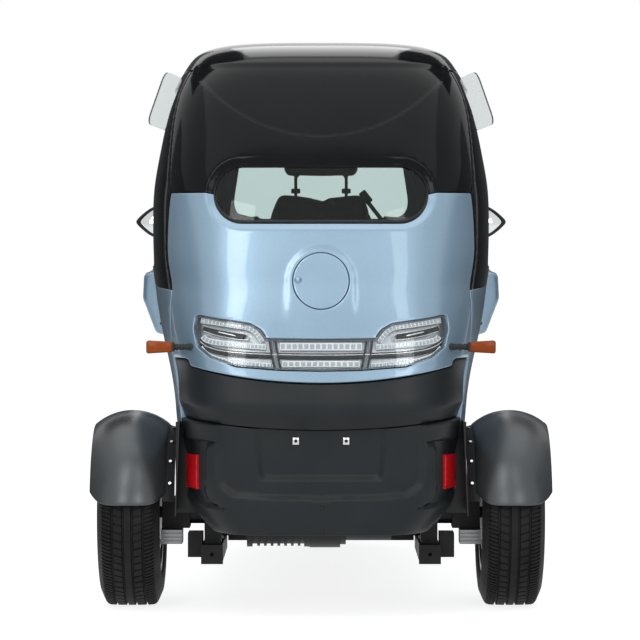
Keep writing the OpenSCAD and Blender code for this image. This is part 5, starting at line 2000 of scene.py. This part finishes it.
@dataclass
class Tyre:
    """A road tyre with four grooves and cut shoulder blocks."""

    node: str
    body: Body
    centre: tuple
    width: float
    bead: float
    tread: float
    steps: int = 288
    slant: float = -0.1
    slant_depth: float = 14.0
    slot_edge: float = 0.9
    sharp: float = math.radians(38)

    @property
    def radius(self) -> float:
        """Outer radius: the height of the axis."""
        return self.centre[2]

    def profile(self) -> list:
        """Section from bead to bead as (across, radius)."""
        h, r, b, t = self.width / 2, self.radius, self.bead, self.tread
        side = [(0.76 * h, b), (0.89 * h, b + 8), (0.965 * h, b + 22), (h, b + 0.46 * (r - b)),
                (0.98 * h, b + 0.60 * (r - b)), (0.5 * (0.96 * h + t + 5), r - 25), (t + 4.5, r - 15),
                (t + 1.5, r - 9), (t - 3, r - 4), (t - 9, r - 1.5)]
        tread = [(0.66 * t, r - 0.6), (0.645 * t, r - 7), (0.56 * t, r - 7), (0.545 * t, r - 0.4),
                 (0.24 * t, r), (0.225 * t, r - 7), (0.14 * t, r - 7), (0.125 * t, r)]
        right = side + tread
        return right + [(-x, z) for x, z in reversed(right)]

    def turned(self) -> Mesh:
        """The section turned round the axis, still at the origin."""
        bm = bmesh.new()
        verts = [bm.verts.new((x, 0, r)) for x, r in self.profile()]
        edges = [bm.edges.new(pair) for pair in zip(verts, verts[1:])]
        bmesh.ops.spin(bm, geom=verts + edges, cent=(0, 0, 0), axis=(1, 0, 0), dvec=(0, 0, 0),
                       angle=2 * math.pi, steps=self.steps, use_merge=True, use_duplicate=False)
        bmesh.ops.recalc_face_normals(bm, faces=bm.faces)
        return bm

    def cut_slots(self, bm: Mesh) -> None:
        """Cut narrow slots into shoulders and ribs, and slant them.

        Args:
            bm: the turned tyre.
        """
        r, t = self.radius, self.tread
        shoulder, rib = [], []
        for f in bm.faces:
            c = f.calc_center_median()
            turn = int((math.atan2(c.y, c.z) / (2 * math.pi) + 1) * self.steps + 0.25) % self.steps
            across, out = abs(c.x), math.hypot(c.y, c.z)
            if 0.67 * t < across < t + 2 and out > r - 9 and turn % 2 == 0:
                shoulder.append(f)
            if 0.26 * t < across < 0.53 * t and out > r - 3 and turn % 4 == 0:
                rib.append(f)
        for faces, drop in ((shoulder, 4.0), (rib, 3.0)):
            bmesh.ops.inset_region(bm, faces=faces, thickness=self.slot_edge, depth=-drop,
                                   use_even_offset=True)
        for vert in bm.verts:
            if math.hypot(vert.co.y, vert.co.z) > r - self.slant_depth:
                turn = self.slant * abs(vert.co.x) / (self.width / 2)
                vert.co = Matrix.Rotation(turn, 3, "X") @ vert.co

    def build(self) -> None:
        """Make the tyre at its place."""
        bm = self.turned()
        self.cut_slots(bm)
        bmesh.ops.translate(bm, vec=self.centre, verts=bm.verts)
        obj = finish_object(bm, self.node + "_tread")
        obj.data.set_sharp_from_angle(angle=self.sharp)
        put(obj, Palette.rubber, (self.node,), self.body)


@dataclass
class Mirrors:
    """Pointed almond mirrors on round arms."""

    y: float = 547.0
    z: float = 1034.0
    tip: float = 573.0
    root: float = 440.0
    half_h: float = 50.0
    point: float = 0.55
    arm: tuple = ((372, 579, 1013), (470, 562, 1034))
    arm_r: float = 8.5
    shell: tuple = ((8.5, 5), (8.0, 1), (6.5, 0), (2, 0), (0.4, 1.5), (0, 5), (1, 14), (6, 26), (16, 36),
                    (30, 41))
    glass: tuple = ((8.2, 4.8), (8.2, 3.2), (9, 2.6))

    def outline(self, inset: float, count: int = 48) -> np.ndarray:
        """The almond, set in by a distance.

        Args:
            inset: the distance.
            count: number of points.

        Returns:
            Points across and up.
        """
        points = []
        for k in range(count):
            a = 2 * math.pi * k / count
            c, w = math.cos(a), math.sin(a)
            x = (self.tip + self.root) / 2 + c * ((self.tip - self.root) / 2 - inset * (1.6 if c > 0 else 1))
            fall = (1 - self.point * max(c, 0) ** 1.5) * (1 - 0.2 * max(-c, 0))
            points.append((x, self.z + (self.half_h - inset) * w * fall))
        return np.array(points)

    def stack(self, side: int, steps: tuple) -> Mesh:
        """A skin over almonds, each set in by a distance and placed along the vehicle."""
        rings = []
        for inset, back in steps:
            flat = self.outline(inset)
            rings.append(np.stack([side * flat[:, 0], np.full(len(flat), self.y + back), flat[:, 1]], axis=1))
        return loft(rings)

    def build(self) -> None:
        """Make both mirrors."""
        shell, glass = bmesh.new(), bmesh.new()
        for s in PAIR:
            add_bm(shell, self.stack(s, self.shell))
            add_bm(glass, self.stack(s, self.glass))
            root, end = ((s * x, y, z) for x, y, z in self.arm)
            add_bm(shell, round_bar(root, end, self.arm_r, 24))
        show(shell, "mirror_shells", Palette.trim, ("mirrors",))
        show(glass, "mirror_glasses", Palette.mirror)


@dataclass
class VentPanes:
    """Pop-out panes behind the doors, hinged at their front edge and set open."""

    length: float = 150.0
    height: float = 155.0
    half_thick: float = 2.2
    low: float = 1280.0
    sink: float = 3.0
    hinge_y: float = -265.0
    swing: float = 20.0
    corner: float = 32.0

    def place(self) -> Matrix:
        """Place of the right pane: Y back along it, Z up it, X out of it."""
        heights, wide = ([row[k] for row in FORM.rows] for k in (0, 1))
        half, top = np.interp((self.low, self.low + self.height), heights, wide)
        lean = math.atan2(half - top, self.height)
        turn = Matrix.Rotation(-lean, 4, "Y") @ Matrix.Rotation(math.radians(self.swing), 4, "Z")
        return Matrix.Translation((half - self.sink, self.hinge_y, self.low)) @ turn

    def pane(self) -> Mesh:
        """The pane with rounded corners."""
        corners = ((0, 0), (-self.length, 0), (-self.length, self.height), (0, self.height))
        ring = Outline(View.SIDE, corners, radius=self.corner).ring()
        faces = (-self.half_thick, self.half_thick)
        return loft([np.stack([np.full(len(ring), x), ring[:, 0], ring[:, 1]], axis=1) for x in faces])

    def build(self) -> None:
        """Make both panes with their edges and hinge strips."""
        right = self.place()
        left = Matrix.Scale(-1, 4, (1, 0, 0)) @ right
        glass, strip = bmesh.new(), bmesh.new()
        for s, place in zip(PAIR, (right, left)):
            edge = block((11, 15, self.height - 2), 2.5, (1, -5, self.height / 2))
            for part, target in ((self.pane(), glass), (edge, strip)):
                bmesh.ops.transform(part, matrix=place, verts=part.verts)
                if s < 0:
                    bmesh.ops.reverse_faces(part, faces=part.faces)
                add_bm(target, part)
        show(glass, "vent_pane_pair", Palette.vent, ("vent_panes",), smooth=False)
        show(strip, "vent_hinges", Palette.trim)


def soft_copy(node: str, name: str, voxel: float, passes: int) -> bpy.types.Object:
    """A smooth rounded copy of a CAD node.

    Args:
        node: the node's name.
        name: name of the copy.
        voxel: size of the new mesh, in metres.
        passes: rounds of smoothing.

    Returns:
        The copy.
    """
    source = frame["nodes"][node]
    obj = bpy.data.objects.new(name, source.data.copy())
    bpy.context.scene.collection.objects.link(obj)
    obj.data.transform(source.matrix_world)
    bm = bmesh.new()
    bm.from_mesh(obj.data)
    bmesh.ops.remove_doubles(bm, verts=bm.verts, dist=1e-6)
    bm.to_mesh(obj.data)
    bm.free()
    remesh = obj.modifiers.new("remesh", "REMESH")
    remesh.mode = "VOXEL"
    remesh.voxel_size = voxel
    smooth = obj.modifiers.new("smooth", "SMOOTH")
    smooth.factor = 0.5
    smooth.iterations = passes
    bake(obj)
    obj.data.polygons.foreach_set("use_smooth", [True] * len(obj.data.polygons))
    return obj


def bake(obj: bpy.types.Object) -> None:
    """Turn an object's modifiers into its mesh."""
    graph = bpy.context.evaluated_depsgraph_get()
    done = bpy.data.meshes.new_from_object(obj.evaluated_get(graph))
    obj.modifiers.clear()
    obj.data = done


@dataclass
class Wings:
    """The front wings beside the nose, with bolt holes."""

    bolts: tuple = ((496, 738), (496, 719))
    bolt_r: float = 6.0
    voxel: float = 0.006
    passes: int = 6

    def build(self) -> None:
        """Make both wings."""
        copy = soft_copy("front_wings", "front_wing_skins", self.voxel, self.passes)
        wings = put(copy, Palette.blue, ("front_wings",))
        holes = bmesh.new()
        for s in PAIR:
            for x, z in self.bolts:
                hit, place, _, _ = wings.ray_cast((s * x * MM, -2, z * MM), (0, 1, 0))
                if hit:
                    y = place.y / MM
                    add_bm(holes, round_bar((s * x, y + 2, z), (s * x, y - 1.5, z), self.bolt_r, 20, 0.8))
        show(holes, "wing_bolts", Palette.trim)


@dataclass
class Cushion:
    """A padded seat part, puffed out of its plain solid by a cloth simulation."""

    node: str
    voxel: float = 0.007
    shrink: float = 0.006
    pressure: float = 4.0
    cap: float = 0.024
    fill: float = 0.75
    passes: int = 3
    frames: int = 14
    quality: int = 4

    def build(self) -> None:
        """Puff the cushion up and keep it near its solid."""
        obj = soft_copy(self.node, self.node + "_cover", self.voxel, self.passes)
        base = [v.co - v.normal * self.shrink for v in obj.data.vertices]
        for v, co in zip(obj.data.vertices, base):
            v.co = co
        self.puff(obj, base)
        put(obj, Palette.fabric, (self.node,))

    def puff(self, obj: bpy.types.Object, base: list) -> None:
        """Run the cloth for a while and limit how far it moves.

        Args:
            obj: the cushion.
            base: where its points started.
        """
        cloth = obj.modifiers.new("puff", "CLOTH")
        cloth.settings.use_pressure = True
        cloth.settings.uniform_pressure_force = self.pressure
        cloth.settings.effector_weights.gravity = 0
        cloth.settings.quality = self.quality
        scene = bpy.context.scene
        for f in range(1, self.frames + 1):
            scene.frame_set(f)
        graph = bpy.context.evaluated_depsgraph_get()
        moved = [v.co.copy() for v in obj.evaluated_get(graph).data.vertices]
        obj.modifiers.clear()
        for v, start, end in zip(obj.data.vertices, base, moved):
            step = end - start
            v.co = start + step * min(1.0, self.cap / max(step.length, 1e-9))
        scene.frame_set(1)


@dataclass
class Cabin:
    """What shows inside: seats, headrest posts and a belt."""

    post_x: float = 72.0
    post_y: float = -166.0
    post: tuple = (1092, 1196, 4.5)
    collar: tuple = (1108, 1122, 13.0)
    belt_turn: float = math.radians(-38)

    def posts(self) -> None:
        """The two posts under the headrest, each with a collar."""
        bm = bmesh.new()
        for x in (-self.post_x, self.post_x):
            for (low, high, r), count, edge in ((self.post, 20, 0.0), (self.collar, 24, 3)):
                add_bm(bm, round_bar((x, self.post_y, low), (x, self.post_y, high), r, count, edge))
        show(bm, "headrest_posts", Palette.trim)

    def belt(self) -> None:
        """The seat belt's webbing and its guide."""
        bm = bmesh.new()
        turn = Matrix.Rotation(self.belt_turn, 3, "Y")
        add_bm(bm, block((12, 3, 190), 1, (172, -150, 1035), turn))
        add_bm(bm, block((22, 12, 40), 4, (128, -152, 1098), turn))
        show(bm, "seat_belt", Palette.trim)

    def build(self) -> None:
        """Make the inside."""
        Cushion("driver_seat").build()
        Cushion("passenger_bench", voxel=0.009).build()
        Cushion("driver_headrest", voxel=0.006, shrink=0.003, pressure=3.0, cap=0.012).build()
        self.posts()
        self.belt()


@dataclass
class Studio:
    """Camera, floor, lamps and backdrop."""

    camera_y: float = -8.465
    camera_z: float = 0.947
    focal_px: float = 2906.0
    image_px: float = 640.0
    horizon_px: float = 250.0
    centre_px: float = 321.0
    sensor: float = 36.0
    far: float = 100.0
    soft: float = 0.5
    floor_tone: float = 0.45
    floor_lift: float = 0.84
    floor_half: float = 40.0

    def camera(self) -> None:
        """The photograph's viewpoint."""
        data = bpy.data.cameras.new("photo_camera")
        data.sensor_width = self.sensor
        data.lens = self.focal_px * self.sensor / self.image_px
        data.clip_end = self.far
        data.shift_x = -(self.centre_px - self.image_px / 2) / self.image_px
        obj = bpy.data.objects.new("photo_camera", data)
        pitch = math.atan((self.image_px / 2 - self.horizon_px) / self.focal_px)
        obj.location = (0, self.camera_y, self.camera_z)
        obj.rotation_euler = (math.pi / 2 - pitch, 0, 0)
        bpy.context.scene.collection.objects.link(obj)
        bpy.context.scene.camera = obj

    def lamp(self, name: str, place: tuple, aim: tuple, size: tuple, power: float) -> None:
        """One soft box.

        Args:
            name: its name.
            place: where it hangs.
            aim: what it points at.
            size: its width and height.
            power: its power in watts.
        """
        data = bpy.data.lights.new(name, "AREA")
        data.shape = "RECTANGLE"
        data.size, data.size_y = size
        data.energy = power
        obj = bpy.data.objects.new(name, data)
        obj.location = place
        obj.rotation_euler = (Vector(aim) - Vector(place)).to_track_quat("-Z", "Y").to_euler()
        bpy.context.scene.collection.objects.link(obj)

    def card(self, name: str, place: tuple, size: tuple, finish: Finish) -> None:
        """A card beside or above the vehicle that only its gloss mirrors, for darker edges in the paint.

        Args:
            name: its name.
            place: its middle.
            size: its three sizes.
            finish: its shade.
        """
        card = finish_object(block(size, 0, place), name, 1.0)
        card.data.materials.append(finish.material())
        card.visible_diffuse = False
        card.visible_shadow = False
        card.visible_camera = False
        card.visible_transmission = False

    def world(self) -> None:
        """A white room as seen and mirrored, with a softer light of its own."""
        world = bpy.data.worlds.new("studio")
        bpy.context.scene.world = world
        world.use_nodes = True
        graph = Graph(world.node_tree)
        soft = graph.add("ShaderNodeBackground", Color=(0.9, 0.95, 1.0, 1), Strength=self.soft)
        white = graph.add("ShaderNodeBackground", Color=(1, 1, 1, 1), Strength=1.0)
        mix = graph.add("ShaderNodeMixShader", i0=graph.seen(), i1=soft.outputs[0], i2=white.outputs[0])
        graph.add("ShaderNodeOutputWorld", i0=mix.outputs[0])

    def floor(self) -> None:
        """A pale floor that runs out of sight and keeps the shadow."""
        bm = bmesh.new()
        bmesh.ops.create_grid(bm, x_segments=2, y_segments=2, size=self.floor_half)
        floor = finish_object(bm, "floor", 1.0)
        made = bpy.data.materials.new("pale_floor")
        made.use_nodes = True
        graph = Graph(made.node_tree)
        lift = graph.maths("MULTIPLY", graph.seen(), self.floor_lift)
        matt = graph.add("ShaderNodeBsdfDiffuse", Color=(*[self.floor_tone] * 3, 1))
        glow = graph.add("ShaderNodeEmission", Color=(1, 1, 1, 1), Strength=lift)
        both = graph.add("ShaderNodeAddShader", i0=matt.outputs[0], i1=glow.outputs[0])
        graph.add("ShaderNodeOutputMaterial", i0=both.outputs[0])
        floor.data.materials.append(made)

    def build(self) -> None:
        """Set the stage."""
        bpy.context.scene.view_settings.view_transform = "Standard"
        self.camera()
        self.world()
        self.floor()
        low = (0, -1.0, 0.6)
        high = (0, -1.0, 0.9)
        self.lamp("top_box", (0, -0.4, 4.4), (0, -0.4, 0), (4.6, 3.7), 48)
        self.lamp("left_high", (-1.16, -4.25, 3.86), high, (0.8, 2.4), 30)
        self.lamp("right_high", (0.95, -4.25, 3.86), high, (0.5, 2.0), 10)
        self.lamp("left_low", (-1.9, -7.4, 2.4), low, (1.5, 2.0), 38)
        self.lamp("right_low", (1.9, -7.4, 2.4), low, (1.5, 2.0), 38)
        self.lamp("front_box", (0, 3.5, 4.3), high, (1.25, 2.6), 16)
        for s in (-1, 1):
            self.card("side_card", (s * 3.4, -0.6, 1.6), (0.02, 4.6, 3.2), Palette.pale_card)
            self.card("over_card", (s * 2.15, 3.6, 4.7), (3.0, 4.0, 0.02), Palette.card)
            self.card("front_card", (s * 3.2, 4.2, 1.5), (4.8, 0.02, 3.0), Palette.card)


def dress_nodes() -> None:
    """Give every CAD node that stays a finish by its slot."""
    served = (Palette.blue, Palette.black, Palette.bumper, Palette.frame, Palette.alloy, Palette.glass,
              Palette.tint, Palette.fabric, Palette.rubber, Palette.trim, Palette.red, Palette.amber,
              Palette.lens)
    by_slot = {finish.slot: finish for finish in served}
    slots = {s["node"]: s["material_slot"] for s in frame["record"]["subparts"]}
    for name, obj in frame["nodes"].items():
        obj.data.materials.clear()
        obj.data.materials.append(by_slot[slots[name]].material())


def tyres() -> tuple:
    """The three tyres: place, width, bead radius and half of the tread."""
    rear = Mudguards()
    wheel = (164, 152, 66)
    return (Tyre("tyre_rear_right", Body.REAR_RIGHT, (rear.x, rear.y, rear.z), *wheel),
            Tyre("tyre_rear_left", Body.REAR_LEFT, (-rear.x, rear.y, rear.z), *wheel),
            Tyre("tyre_front", Body.FRONT_WHEEL, (0, 785, 225), 105, 127, 46))


def main() -> None:
    """Build the vehicle's looks in order."""
    logging.basicConfig(level=logging.INFO, format="%(message)s")
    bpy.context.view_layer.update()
    Studio().build()
    dress_nodes()
    for part in (CabinSkin(), Glazing(), RearBumper(), TailLamp(), Headlamps(), Indicators(), Mudguards(),
                 *tyres(), Mirrors(), VentPanes(), Wings(), Cabin()):
        part.build()


if __name__ == "__main__":
    main()
